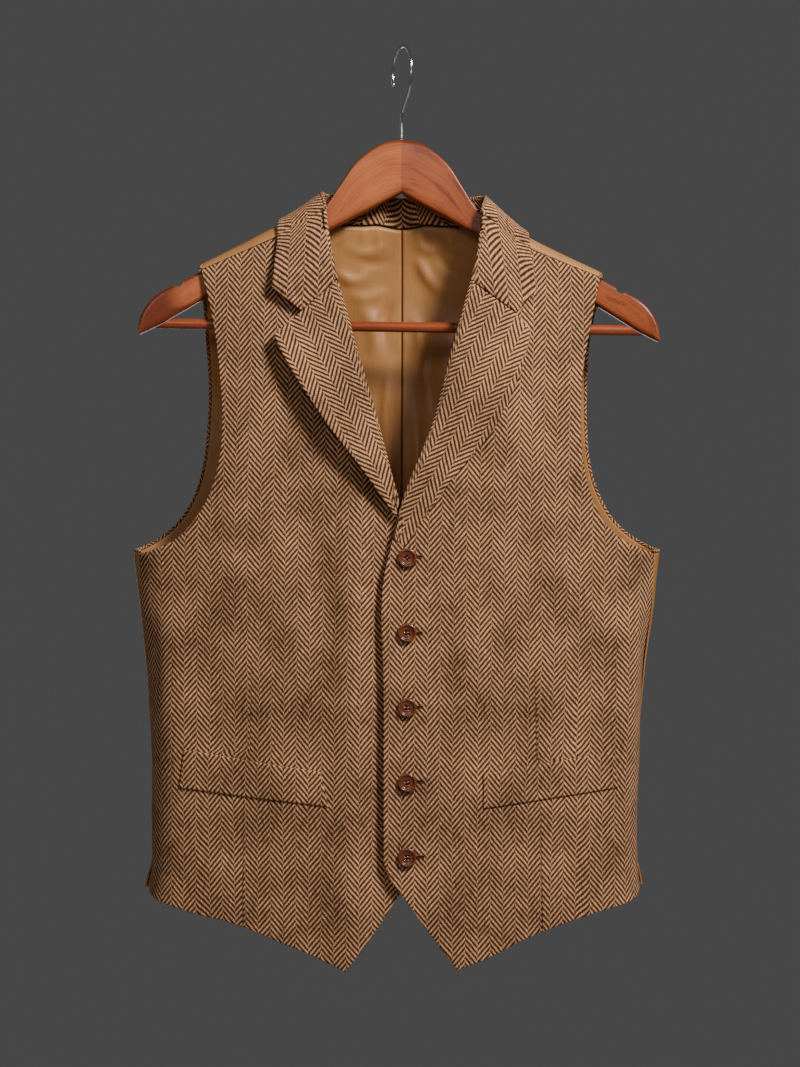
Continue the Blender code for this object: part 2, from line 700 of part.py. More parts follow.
def back_panels(side, collection):
    """The back, and the lining that lies inside it."""
    body, chest, strap = back_grids(side)
    cloth_piece("back_" + SIDE_NAMES[side],
                [(back_points(side, body, CLOTH), False),
                 (back_points(side, chest, CLOTH), False),
                 (back_points(side, strap, CLOTH), True)],
                side == RIGHT, CLOTH, satin(), collection)
    depth = CLOTH + LINING_GAP + LINING
    cloth_piece("lining_" + SIDE_NAMES[side],
                [(back_points(side, body, depth), False),
                 (back_points(side, chest, depth), False)],
                side == RIGHT, LINING, satin(), collection)


def ridge_point(signed_across, front, rise):
    """A place given by how far in front of the ridge it is, either side of the centre."""
    signed_across = np.asarray(signed_across, float)
    sides = []
    for side in (LEFT, RIGHT):
        pattern = from_ridge(side, side * signed_across, front)
        sides.append(form_point(side, pattern[..., 0], pattern[..., 1], rise))
    return np.where((signed_across < 0)[..., None], sides[0], sides[1])


def collar(collection):
    """Stand and fall in one strip, folded over at the roll."""
    rows = []
    for side in (LEFT, RIGHT):
        places = chain(*collar_places(side))
        lines = [line.copy() for line in collar_at(side, places)]
        for line in lines:
            line[:, 0] *= side
        rows.append(lines if side == LEFT else [line[::-1][1:] for line in lines])
    seam, roll, edge = [np.concatenate(pair) for pair in zip(*rows)]
    fraction = np.linspace(0, 1, COLUMNS_FALL + 1)
    ends = []
    for side, row in ((LEFT, 0), (RIGHT, -1)):
        notch = NOTCH_INNER[side]
        notch_front = ridge_pattern_height(side, notch[0]) - notch[1]
        corner = np.array([side * notch[0], notch_front])
        path = chain(smooth_curve([roll[row, :2], corner], 40),
                     smooth_curve([corner, edge[row]], 20))
        ends.append(resample(path, fraction))
    fall = roll[:, None, :2] * (1 - fraction)[:, None] + edge[:, None] * fraction[:, None]
    row = np.arange(len(roll))
    for k, rows_away in ((0, row), (-1, row[::-1])):
        near_end = 1 - ease(0, ROWS_NECK + 1, rows_away)
        fall = fall + (ends[k] - fall[k])[None] * near_end[:, None, None]
    rise = FALL_RISE + (roll[:, None, 2] - FALL_RISE) * (1 - fraction[None]) ** 1.2
    fall_points = ridge_point(fall[..., 0], fall[..., 1], rise)
    base = ridge_point(roll[:, 0], roll[:, 1], roll[:, 2] - FOLD_RADIUS)
    top = ridge_point(roll[:, 0], roll[:, 1], roll[:, 2])
    out = (top - base) / FOLD_RADIUS
    inward = np.cross(np.gradient(top, axis=0), out)
    inward *= np.sign(np.sum(inward * (top - fall_points[:, 1]), axis=1, keepdims=True))
    inward /= np.linalg.norm(inward, axis=1, keepdims=True)
    middle = base - inward * FOLD_RADIUS
    stand_top = middle - out * FOLD_RADIUS
    along = np.gradient(seam, axis=0)
    across = np.stack([along[:, 1], -along[:, 0]], axis=1)
    across /= np.linalg.norm(across, axis=1, keepdims=True)
    across *= np.sign(np.sum(across * (roll[:, :2] - seam), axis=1, keepdims=True))
    seam = seam + across * COLLAR_GAP
    seam_points = ridge_point(seam[:, 0], seam[:, 1], -CLOTH + 0.0 * seam[:, 1])
    columns = [seam_points, (seam_points + stand_top) / 2, stand_top,
               middle + inward * FOLD_RADIUS, middle + out * FOLD_RADIUS]
    columns += [fall_points[:, k] for k in range(1, COLUMNS_FALL + 1)]
    points = np.stack(columns, axis=1)
    return cloth_piece("collar", [(points, False)], True, CLOTH, tweed(), collection, -1)


def lapel(side, collection):
    """A lapel, folded back onto its front along the roll line."""
    roll = smooth_curve([LAPEL_BREAK[side]] + ROLL_LINE[side] + [GORGE_INNER[side]],
                        LAPEL_ROWS)
    edge = smooth_curve([LAPEL_FOOT[side]] + LAPEL_EDGE[side][::-1] + [LAPEL_TIP[side]],
                        LAPEL_ROWS)
    fraction = np.linspace(0, 1, LAPEL_COLUMNS + 1)
    gorge = smooth_curve([GORGE_INNER[side], NOTCH_INNER[side]], 30)
    top = resample(chain(gorge, smooth_curve([NOTCH_INNER[side], LAPEL_TIP[side]], 20)),
                   fraction)
    top[:, 1] -= LAPEL_GAP
    bottom = smooth_curve([LAPEL_BREAK[side], LAPEL_FOOT[side]], LAPEL_COLUMNS)
    roll[-1], edge[-1] = top[0], top[-1]
    up = np.linspace(0, 1, LAPEL_ROWS + 1)
    grid = coons(bottom, top, roll, edge, fraction, up)
    pattern = front_pattern(side, grid)
    spring = fraction[None] ** 1.4 * np.sin(math.pi * np.clip(up * 0.8 + 0.08, 0, 1))[:, None]
    out = LAPEL_RISE - CLOTH + LAPEL_STANDOFF[side] * spring
    points = form_point(side, pattern[..., 0], pattern[..., 1], out)
    return cloth_piece("lapel_" + SIDE_NAMES[side], [(points, False)], side == LEFT, CLOTH, tweed(),
                       collection)


def welt(side, collection):
    """A pocket welt, laid on its front."""
    corners = WELTS[side]
    count = WELT_COLUMNS
    top = smooth_curve([corners.top_inner, corners.top_outer], count)
    bottom = smooth_curve([corners.bottom_inner, corners.bottom_outer], count)
    inner = smooth_curve([corners.bottom_inner, corners.top_inner], 2)
    outer = smooth_curve([corners.bottom_outer, corners.top_outer], 2)
    grid = coons(bottom, top, inner, outer, np.linspace(0, 1, count + 1),
                 np.linspace(0, 1, 3))
    pattern = front_pattern(side, grid)
    out = front_out(side, pattern[..., 0]) + WELT_GAP
    points = form_point(side, pattern[..., 0], pattern[..., 1], out)
    return cloth_piece("welt_" + SIDE_NAMES[side], [(points, False)], side == LEFT,
                       WELT_THICK, tweed(), collection)


def binding(side, collection):
    """The narrow edging of the back's armhole, just outside its edge."""
    body, chest, strap = back_grids(side)
    line = chain(body[-1, chest.shape[1] - 1:][::-1], chest[:, -1], strap[:, -1])
    along = np.gradient(line, axis=0)
    away = np.stack([-along[:, 1], along[:, 0]], axis=1)
    away /= np.linalg.norm(away, axis=1, keepdims=True)
    under_arm = 1 - ease(0, 50, np.linalg.norm(line - line[0], axis=1))[:, None]
    near = line + away * (SEAM_GAP + UNDERARM_GAP * under_arm)
    far = near + away * BINDING_WIDTH
    grid = np.stack([near, far], axis=1)
    points = form_point(side, grid[..., 0], grid[..., 1], -(CLOTH + BINDING_THICK) / 2)
    return cloth_piece("binding_" + SIDE_NAMES[side], [(points, False)], side == RIGHT,
                       BINDING_THICK, tweed(), collection)


# ---------------------------------------------------------------- buttons and hanger


def turned_mesh(name, profile, steps):
    """A closed turned shape from a profile that runs down its outer side at +X."""
    mesh = bpy.data.meshes.new(name)
    points = [(radius * MM, 0.0, height * MM) for radius, height in profile]
    mesh.from_pydata(points, [(k, k + 1) for k in range(len(points) - 1)], [])
    item = bpy.data.objects.new(name, mesh)
    bpy.context.scene.collection.objects.link(item)
    screw = item.modifiers.new("Turn", "SCREW")
    screw.steps = screw.render_steps = steps
    screw.use_merge_vertices = True
    screw.merge_threshold = 0.00001
    screw.use_normal_calculate = True
    evaluated = item.evaluated_get(bpy.context.evaluated_depsgraph_get())
    turned = bpy.data.meshes.new_from_object(evaluated)
    bpy.data.objects.remove(item, do_unlink=True)
    return turned


def cutter_rods(places, radius, length, collection, name):
    """Rods along Y that cut round holes, joined in one object."""
    tool = bmesh.new()
    for x, z in places:
        made = bmesh.ops.create_cone(tool, cap_ends=True, segments=10, radius1=radius * MM,
                                     radius2=radius * MM, depth=length * MM)
        for vertex in made["verts"]:
            vertex.co = Vector((vertex.co.x + x * MM, -vertex.co.z, vertex.co.y + z * MM))
    mesh = bpy.data.meshes.new(name)
    tool.to_mesh(mesh)
    tool.free()
    item = bpy.data.objects.new(name, mesh)
    item.hide_render = True
    item.display_type = "WIRE"
    collection.objects.link(item)
    return item


def cut(item, cutter):
    modifier = item.modifiers.new("Cut", "BOOLEAN")
    modifier.object = cutter
    modifier.operation = "DIFFERENCE"
    modifier.solver = "EXACT"


def buttons(parts, cutters):
    """Five turned buttons down the right front, facing forwards."""
    rim, half = BUTTON_RADIUS, BUTTON_THICK / 2
    profile = [(0, half - 0.9), (rim - 2.6, half - 0.9), (rim - 1.5, half), (rim - 0.5, half),
               (rim, half - 0.7), (rim - 0.4, -half + 0.6), (rim - 2.0, -half), (0, -half)]
    for number in range(BUTTON_COUNT):
        height = BUTTON_TOP - number * BUTTON_PITCH
        pattern = front_pattern(RIGHT, [(BUTTON_ACROSS, height)])[0]
        place = form_point(RIGHT, pattern[0], pattern[1], BUTTON_GAP + half)
        mesh = turned_mesh("button", profile, 22)
        for vertex in mesh.vertices:
            x, y, z = vertex.co
            vertex.co = Vector((x, -z, y)) + Vector(place * MM)
        name = f"button_{number + 1}"
        item = add_object(name, mesh, horn(), parts)
        step = BUTTON_HOLE_OFFSET
        holes = [(place[0] + i * step, place[2] + k * step)
                 for i in (-1, 1) for k in (-1, 1)]
        rods = cutter_rods(holes, BUTTON_HOLE, 120.0, cutters, name + "_holes")
        cut(item, rods)


def hanger_arm(side, crown, parts, cutters):
    """Half of the contoured hanger, lofted along its upper and lower edges."""
    stations = 26
    upper = smooth_curve(HANGER_TOP, stations)
    lower = smooth_curve(HANGER_UNDER, stations)
    half, rounding = HANGER_THICK / 2, HANGER_ROUND
    points = []
    for top, under in zip(upper, lower):
        rise = top - under
        length = np.linalg.norm(rise)
        corner = min(rounding / length, 0.3)
        ring = []
        for fraction, depth in ((0, half - rounding), (corner, half), (1 - corner, half),
                                (1, half - rounding), (1, rounding - half),
                                (1 - corner, -half), (corner, -half), (0, rounding - half)):
            x, z = under + rise * fraction
            x = max(x, SEAM_GAP / 2)
            ring.append((side * x, float(contour(x)) - depth, z - HANGER_CROWN))
        points.append(ring)
    points = np.array(points) * MM
    count = points.shape[1]
    faces = []
    for row in range(stations):
        for col in range(count):
            a, b = row * count + col, row * count + (col + 1) % count
            faces.append((a, b, b + count, a + count))
    faces.append(tuple(range(count))[::-1])
    last = stations * count
    faces.append(tuple(last + k for k in range(count)))
    if side == LEFT:
        faces = [face[::-1] for face in faces]
    mesh = bpy.data.meshes.new("hanger_arm")
    mesh.from_pydata(points.reshape(-1, 3).tolist(), [], faces)
    mesh.update()
    item = add_object("hanger_arm_" + SIDE_NAMES[side], mesh, wood(), parts)
    mesh.set_sharp_from_angle(angle=math.radians(50))
    item.parent = crown
    notch = cutter_rods([(side * STRAP_NOTCH[0], STRAP_NOTCH[1] - HANGER_CROWN)],
                        STRAP_NOTCH_RADIUS, 120.0, cutters, "notch_" + SIDE_NAMES[side])
    notch.parent = crown
    cut(item, notch)
    return item


def hanger_bar(crown, parts):
    """The trouser bar: a dowel whose ends are mitred to the arms' undersides."""
    under = smooth_curve(HANGER_UNDER, 60)
    tool = bmesh.new()
    bmesh.ops.create_cone(tool, cap_ends=True, segments=14, radius1=BAR_RADIUS * MM,
                          radius2=BAR_RADIUS * MM, depth=2 * MM)
    for vertex in tool.verts:
        x, y, z = vertex.co.z, vertex.co.y, -vertex.co.x
        height = BAR_HEIGHT + z / MM
        reach = np.interp(-(height + 0.9), -under[:, 1], under[:, 0])
        vertex.co = Vector((math.copysign(reach * MM, x), y - BAR_FORWARD * MM,
                            (height - HANGER_CROWN) * MM))
    mesh = bpy.data.meshes.new("hanger_bar")
    tool.to_mesh(mesh)
    tool.free()
    item = add_object("hanger_bar", mesh, wood(), parts)
    mesh.set_sharp_from_angle(angle=math.radians(40))
    item.parent = crown
    return item


def hanger_hook(parts):
    """The wire hook: a loop that bears on the rail, and a neck down to the crown."""
    turn_x, turn_y = math.sin(HOOK_TURN), -math.cos(HOOK_TURN)
    centre = HOOK_WIRE - HOOK_LOOP
    loop = [(HOOK_LOOP * math.cos(angle), centre + HOOK_LOOP * math.sin(angle))
            for angle in np.linspace(math.radians(208), 0, 24)]
    neck = smooth_curve([loop[-1]] + HOOK_NECK, 16)
    path = chain(np.array(loop), neck)
    curve = bpy.data.curves.new("hanger_hook", "CURVE")
    curve.dimensions = "3D"
    curve.bevel_depth = HOOK_WIRE * MM
    curve.bevel_resolution = 2
    curve.use_fill_caps = True
    spline = curve.splines.new("POLY")
    spline.points.add(len(path) - 1)
    for point, (reach, height) in zip(spline.points, path):
        point.co = (reach * turn_x * MM, reach * turn_y * MM, height * MM, 1.0)
    item = bpy.data.objects.new("hanger_hook", curve)
    curve.materials.append(steel())
    parts.objects.link(item)
    return item


def build():
    clear_scene()
    parts = bpy.data.collections.new("suit_waistcoat")
    cutters = bpy.data.collections.new("cutters")
    for collection in (parts, cutters):
        bpy.context.scene.collection.children.link(collection)
    for side in (LEFT, RIGHT):
        front_panel(side, parts)
        back_panels(side, parts)
        lapel(side, parts)
        welt(side, parts)
        binding(side, parts)
    collar(parts)
    buttons(parts, cutters)
    crown = bpy.data.objects.new("hanger_crown", None)
    crown.location = (0.0, 0.0, HANGER_CROWN * MM)
    crown.rotation_euler = (0.0, HANGER_TILT, 0.0)
    parts.objects.link(crown)
    for side in (LEFT, RIGHT):
        hanger_arm(side, crown, parts, cutters)
    hanger_bar(crown, parts)
    hanger_hook(parts)


build()
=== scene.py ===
"""The looks of a herringbone suit waistcoat that hangs on a contoured wooden hanger.

Cloth is laid out in pattern coordinates on one body form: how far round the body a place is
from the centre front, and how high it is. A third number says how far it stands out from the
cloth's outer face. Lengths are in millimetres until a mesh is made, and MM makes them metres.
"""

import logging
import math
from collections.abc import Callable, Sequence
from dataclasses import dataclass, field
from enum import Enum, IntEnum
from typing import Any, NamedTuple

import bmesh
import bpy
import numpy as np
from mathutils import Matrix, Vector, noise

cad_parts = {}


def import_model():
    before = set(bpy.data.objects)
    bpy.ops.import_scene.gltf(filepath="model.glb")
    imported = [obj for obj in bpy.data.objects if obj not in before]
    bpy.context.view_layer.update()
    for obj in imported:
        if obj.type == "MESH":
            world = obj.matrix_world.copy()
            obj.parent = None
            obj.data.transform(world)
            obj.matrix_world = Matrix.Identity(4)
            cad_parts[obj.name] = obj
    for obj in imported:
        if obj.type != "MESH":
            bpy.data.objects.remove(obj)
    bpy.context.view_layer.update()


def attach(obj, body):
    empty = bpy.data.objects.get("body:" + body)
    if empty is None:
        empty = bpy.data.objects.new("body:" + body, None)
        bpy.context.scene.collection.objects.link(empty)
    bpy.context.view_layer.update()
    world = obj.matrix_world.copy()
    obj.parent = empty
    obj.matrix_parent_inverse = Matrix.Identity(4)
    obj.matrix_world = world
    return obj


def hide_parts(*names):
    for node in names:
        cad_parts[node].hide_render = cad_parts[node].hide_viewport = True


MM = 0.001
ROOT = "root"
CLOTH = 1.8
LINING = 1.2
SEAM_GAP = 0.04
RIDGE_RADIUS = 10.5
BLEND_HEIGHT = 120.0
FRONT_BEND = math.radians(10)
BACK_BEND = math.radians(7)

Array = np.ndarray
Pair = tuple[float, float]
Colour = tuple[float, float, float]
log = logging.getLogger("waistcoat")


class Side(IntEnum):
    """The two sides of the waistcoat, as someone who faces it sees them."""

    LEFT = -1
    RIGHT = 1

    @property
    def word(self) -> str:
        """The side's name in the names of pieces."""
        return self.name.lower()


WEAVE_SHIFT = {Side.LEFT: 2.2, Side.RIGHT: 5.4}


class Facing(IntEnum):
    """Which way the shown face of a sheet of cloth looks."""

    OUTWARDS = 1
    INWARDS = -1


class Slot(Enum):
    """The material slots of the record."""

    TWEED = "herringbone"
    SATIN = "satin"
    WOOD = "stained_wood"
    STEEL = "bright_steel"
    HORN = "brown_horn"


# ------------------------------------------------------------------ curves and tables


def smooth_value(places: Sequence[float], values: Sequence[float], at: Any) -> Array:
    """Read a table at any place, on a smooth curve through its rows.

    Args:
        places: where each row of the table is.
        values: the value in each row.
        at: the places to read.

    Returns:
        The values there.
    """
    order = np.argsort(places)
    x = np.asarray(places, float)[order]
    y = np.asarray(values, float)[order]
    slope = np.gradient(y, x)
    at = np.clip(np.asarray(at, float), x[0], x[-1])
    i = np.clip(np.searchsorted(x, at) - 1, 0, len(x) - 2)
    step = x[i + 1] - x[i]
    t = (at - x[i]) / step
    return (y[i] * (1 + 2 * t) * (1 - t) ** 2 + slope[i] * step * t * (1 - t) ** 2
            + y[i + 1] * t * t * (3 - 2 * t) - slope[i + 1] * step * t * t * (1 - t))


def travelled(points: Array) -> Array:
    """How far along a polyline each of its points lies."""
    return np.r_[0, np.cumsum(np.linalg.norm(np.diff(points, axis=0), axis=1))]


def unit(vectors: Array) -> Array:
    """The same directions, each one long."""
    return vectors / np.linalg.norm(vectors, axis=-1, keepdims=True)


def resample(points: Any, fractions: Any) -> Array:
    """Read a polyline at fractions of its length.

    Args:
        points: the polyline.
        fractions: numbers from 0 to 1.

    Returns:
        A point for each fraction.
    """
    points = np.asarray(points, float)
    length = travelled(points)
    return np.stack([np.interp(np.asarray(fractions) * length[-1], length, points[:, k])
                     for k in range(points.shape[1])], axis=1)


def smooth_curve(points: Any, fractions: Any) -> Array:
    """Read a smooth curve through a few points.

    Args:
        points: the points that it passes through.
        fractions: a count of equal steps, or fractions of its length.

    Returns:
        A point for each step or fraction.
    """
    points = np.array(points, float)
    chord = travelled(points)
    dense = np.linspace(0, chord[-1], 60 * len(points))
    fine = points[0] + (points[-1] - points[0]) * (dense / chord[-1])[:, None]
    if len(points) > 2:
        fine = np.stack([smooth_value(chord, points[:, k], dense)
                         for k in range(points.shape[1])], axis=1)
    if np.ndim(fractions) == 0:
        fractions = np.linspace(0, 1, int(fractions) + 1)
    return resample(fine, fractions)


def chain(*curves: Array) -> Array:
    """Join curves that share their end points."""
    return np.concatenate([curves[0]] + [curve[1:] for curve in curves[1:]])


def ease(start: float, end: float, value: Any) -> Array:
    """A smooth step from 0 at the start to 1 at the end."""
    t = np.clip((np.asarray(value, float) - start) / (end - start), 0, 1)
    return t * t * (3 - 2 * t)


def coons(bottom: Array, top: Array, inner: Array, outer: Array, across: Any,
          up: Any) -> Array:
    """Fill four edges with a grid.

    Args:
        bottom: points along the lower edge, and top along the upper one.
        top: see bottom.
        inner: points up the edge nearest the centre, and outer up the other one.
        outer: see inner.
        across: the fraction of the way across of each column.
        up: the fraction of the way up of each row.

    Returns:
        Points, the first index going up and the second going across.
    """
    u = np.asarray(across)[None, :, None]
    v = np.asarray(up)[:, None, None]
    ruled_up = bottom[None] * (1 - v) + top[None] * v
    ruled_across = inner[:, None] * (1 - u) + outer[:, None] * u
    corners = (bottom[0] * (1 - u) * (1 - v) + bottom[-1] * u * (1 - v)
               + top[0] * (1 - u) * v + top[-1] * u * v)
    return ruled_up + ruled_across - corners


def spread_of(line: Array) -> Array:
    """How far along a polyline each of its points lies, as fractions of its length."""
    length = travelled(line)
    return length / length[-1]


def edge_fractions(length: float, step: float) -> Array:
    """Fractions of a length in even steps, with finer ones close to both of its ends.

    Args:
        length: the length to divide.
        step: the size of the even steps.

    Returns:
        Rising fractions from 0 to 1.
    """
    near = np.array([0.0, 0.35, 0.8, 1.5, 2.6])
    count = max(2, round((length - 2 * near[-1]) / step))
    middle = np.linspace(near[-1], length - near[-1], count + 1)
    return np.r_[near[:-1], middle, length - near[-2::-1]] / length


# ------------------------------------------------------------------ the body form


class Section(NamedTuple):
    """A level section of the body form, at the cloth's outer face."""

    height: float
    half_width: float
    front_depth: float
    back_depth: float
    shift: float
    seam_lead: float


class CollarStation(NamedTuple):
    """Seam, roll and outer edge of the collar: how far across, and in front of the ridge."""

    roll: float
    roll_front: float
    rise: float
    edge: float
    edge_front: float
    seam: float
    seam_front: float


class BodyForm:
    """The oval form that all the cloth lies on, and the hanger's sweep inside it."""

    sections = [
        Section(-90, 229, 40, 31, 0.0, 20),
        Section(-250, 229, 44, 34, -1.0, 20),
        Section(-360, 229, 46, 36, -3.0, 20),
        Section(-438, 227.8, 47, 38, -4.5, 20),
        Section(-486, 222.3, 47, 37, -4.8, 11),
        Section(-531, 216.5, 47, 35, -5.2, 6),
        Section(-598, 211.9, 47, 33, -5.8, -2),
        Section(-661, 210.2, 47, 33, -6.3, -3),
        Section(-705, 210.4, 47, 34, -6.2, -3),
        Section(-735, 213.0, 48, 35, -6.2, -3),
        Section(-800, 215.0, 48, 36, -6.2, -3),
    ]
    ridge = [(-240, -225), (-174, -190.0), (-140, -172.3), (-107, -154.8), (-65, -133.5),
             (-35, -117.5), (-17, -107), (0, -103), (17, -107), (35, -118), (65, -136.0),
             (109, -165.0), (140, -181.0), (171, -196.0), (240, -231)]
    contour_slope = 0.05
    contour_curve = 0.00022

    def value(self, name: str, height: Any) -> Array:
        """Read one column of the sections at a height."""
        return smooth_value([row.height for row in self.sections],
                            [getattr(row, name) for row in self.sections], height)

    @staticmethod
    def _arcs(half_width: Array, depth: Array, bend: float) -> tuple[Array, Array]:
        """The radii of a quarter section's shallow arc and of its side bend."""
        sine, cosine = math.sin(bend), math.cos(bend)
        scale = sine * cosine - (1 - sine) * (1 - cosine)
        shallow = (half_width * cosine - depth * (1 - sine)) / scale
        return shallow, (depth * sine - half_width * (1 - cosine)) / scale

    def _quarter(self, height: Any, name: str, bend: float) -> Array:
        """The length of a quarter section."""
        shallow, side_bend = self._arcs(self.value("half_width", height),
                                        self.value(name, height), bend)
        return shallow * bend + side_bend * (math.pi / 2 - bend)

    def front_quarter(self, height: Any) -> Array:
        """From the centre front to the widest place, along the form."""
        return self._quarter(height, "front_depth", FRONT_BEND)

    def back_quarter(self, height: Any) -> Array:
        """From the widest place to the centre back, along the form."""
        return self._quarter(height, "back_depth", BACK_BEND)

    def _quarter_point(self, half_width: Array, depth: Array, bend: float,
                       along: Array) -> tuple[Array, Array]:
        """Across and depth of a place along a quarter section from the centre line."""
        shallow, side_bend = self._arcs(half_width, depth, bend)
        sine, cosine = math.sin(bend), math.cos(bend)
        turn = along / shallow
        angle = bend + (along - shallow * bend) / side_bend
        flat = along < shallow * bend
        across = np.where(flat, shallow * np.sin(turn),
                          shallow * sine + side_bend * (np.sin(angle) - sine))
        inward = np.where(flat, shallow * (1 - np.cos(turn)),
                          shallow * (1 - cosine) + side_bend * (cosine - np.cos(angle)))
        return across, depth - inward

    def _quarter_along(self, height: Any, name: str, bend: float, across: Array) -> Array:
        """How far along a quarter section a place across it lies."""
        shallow, side_bend = self._arcs(self.value("half_width", height),
                                        self.value(name, height), bend)
        sine = math.sin(bend)
        turn = np.arcsin(np.clip(across / shallow, -1, 1))
        angle = np.arcsin(np.clip((across - shallow * sine) / side_bend + sine, -1, 1))
        return np.where(across < shallow * sine, shallow * turn,
                        shallow * bend + side_bend * (angle - bend))

    def ridge_height(self, across: Any) -> Array:
        """How high the shoulder ridge is."""
        return smooth_value([row[0] for row in self.ridge], [row[1] for row in self.ridge],
                            across)

    def contour(self, across: Any) -> Array:
        """How far back the hanger's middle plane is, because the arms sweep forward."""
        reach = np.abs(across)
        return -(self.contour_slope * reach + self.contour_curve * reach ** 2)

    def face(self, side: Side, around: Any, height: Any) -> Array:
        """A place on the cloth's outer face, by its pattern coordinates."""
        around = np.asarray(around, float)
        height = np.asarray(height, float)
        width = self.value("half_width", height)
        front, back = self.value("front_depth", height), self.value("back_depth", height)
        front_length = self.front_quarter(height)
        on_front = around <= front_length
        across_f, depth_f = self._quarter_point(width, front, FRONT_BEND, around)
        from_back = front_length + self.back_quarter(height) - around
        across_b, depth_b = self._quarter_point(width, back, BACK_BEND, from_back)
        x = self.value("shift", height) + side * np.where(on_front, across_f, across_b)
        away = np.where(on_front, -1.0, 1.0)
        full_depth = away * np.where(on_front, depth_f, depth_b)
        arc_foot = self.ridge_height(x) - RIDGE_RADIUS
        middle = self.contour(x)
        below = np.clip((arc_foot - height) / BLEND_HEIGHT, 0, 1)
        lean = middle + away * RIDGE_RADIUS
        y_plain = lean + (full_depth - lean) * (1 - (1 - below) ** 2)
        turn = np.maximum(height - arc_foot, 0) / RIDGE_RADIUS
        over = height > arc_foot
        y = np.where(over, middle + away * RIDGE_RADIUS * np.cos(turn), y_plain)
        z = np.where(over, arc_foot + RIDGE_RADIUS * np.sin(turn), height)
        return np.stack([x, y, z], axis=-1)

    def point(self, side: Side, pattern: Array, out: Any = 0.0) -> Array:
        """A place on the form, moved out of the cloth's outer face.

        Args:
            side: which half of the waistcoat.
            pattern: how far round and how high, in the last axis.
            out: how far out, or in where it is negative.

        Returns:
            Places in the frame.
        """
        around, height = pattern[..., 0], pattern[..., 1]
        step = 0.5
        along = self.face(side, around + step, height) - self.face(side, around - step, height)
        up = self.face(side, around, height + step) - self.face(side, around, height - step)
        normal = np.cross(along, up) * int(side)
        normal = unit(normal)
        return self.face(side, around, height) + normal * np.asarray(out)[..., None]

    def front_pattern(self, side: Side, points: Any) -> Array:
        """Pattern coordinates of places on a front, given as (across, height)."""
        across, height = np.moveaxis(np.atleast_2d(np.asarray(points, float)), -1, 0)
        across = across - side * self.value("shift", height)
        around = self._quarter_along(height, "front_depth", FRONT_BEND, across)
        return np.stack([around, height], axis=-1)

    def back_pattern(self, side: Side, points: Any) -> Array:
        """Pattern coordinates of places on the back, given as (across, height)."""
        across, height = np.moveaxis(np.atleast_2d(np.asarray(points, float)), -1, 0)
        across = across - side * self.value("shift", height)
        around = (self.front_quarter(height) + self.back_quarter(height)
                  - self._quarter_along(height, "back_depth", BACK_BEND, across))
        return np.stack([around, height], axis=-1)

    def ridge_pattern_height(self, side: Side, across: Any) -> Array:
        """The pattern height of the ridge, measured up the cloth."""
        return (self.ridge_height(side * np.asarray(across))
                + RIDGE_RADIUS * (math.pi / 2 - 1))

    def from_ridge(self, side: Side, across: Any, front: Any) -> Array:
        """Pattern coordinates of a place given by its distance from the ridge."""
        across = np.asarray(across, float)
        front = np.asarray(front, float)
        height = self.ridge_pattern_height(side, across) - np.abs(front)
        points = np.stack([across, height], axis=-1)
        return np.where((front >= 0)[..., None], self.front_pattern(side, points),
                        self.back_pattern(side, points))

    def over_ridge(self, side: Side, across: Any, front: Any) -> Array:
        """The same for the back, whose pattern goes on over the ridge to its front side."""
        ridge = self.ridge_pattern_height(side, across)
        points = np.stack([across, ridge + np.minimum(front, 0)], axis=-1)
        around = self.back_pattern(side, points)[..., 0]
        return np.stack([around, ridge + front], axis=-1)

    def ridge_point(self, signed_across: Any, front: Any, rise: Any) -> Array:
        """A place given by how far in front of the ridge it is, either side of the centre."""
        signed_across = np.asarray(signed_across, float)
        sides = [self.point(side, self.from_ridge(side, side * signed_across, front), rise)
                 for side in (Side.LEFT, Side.RIGHT)]
        return np.where((signed_across < 0)[..., None], sides[0], sides[1])


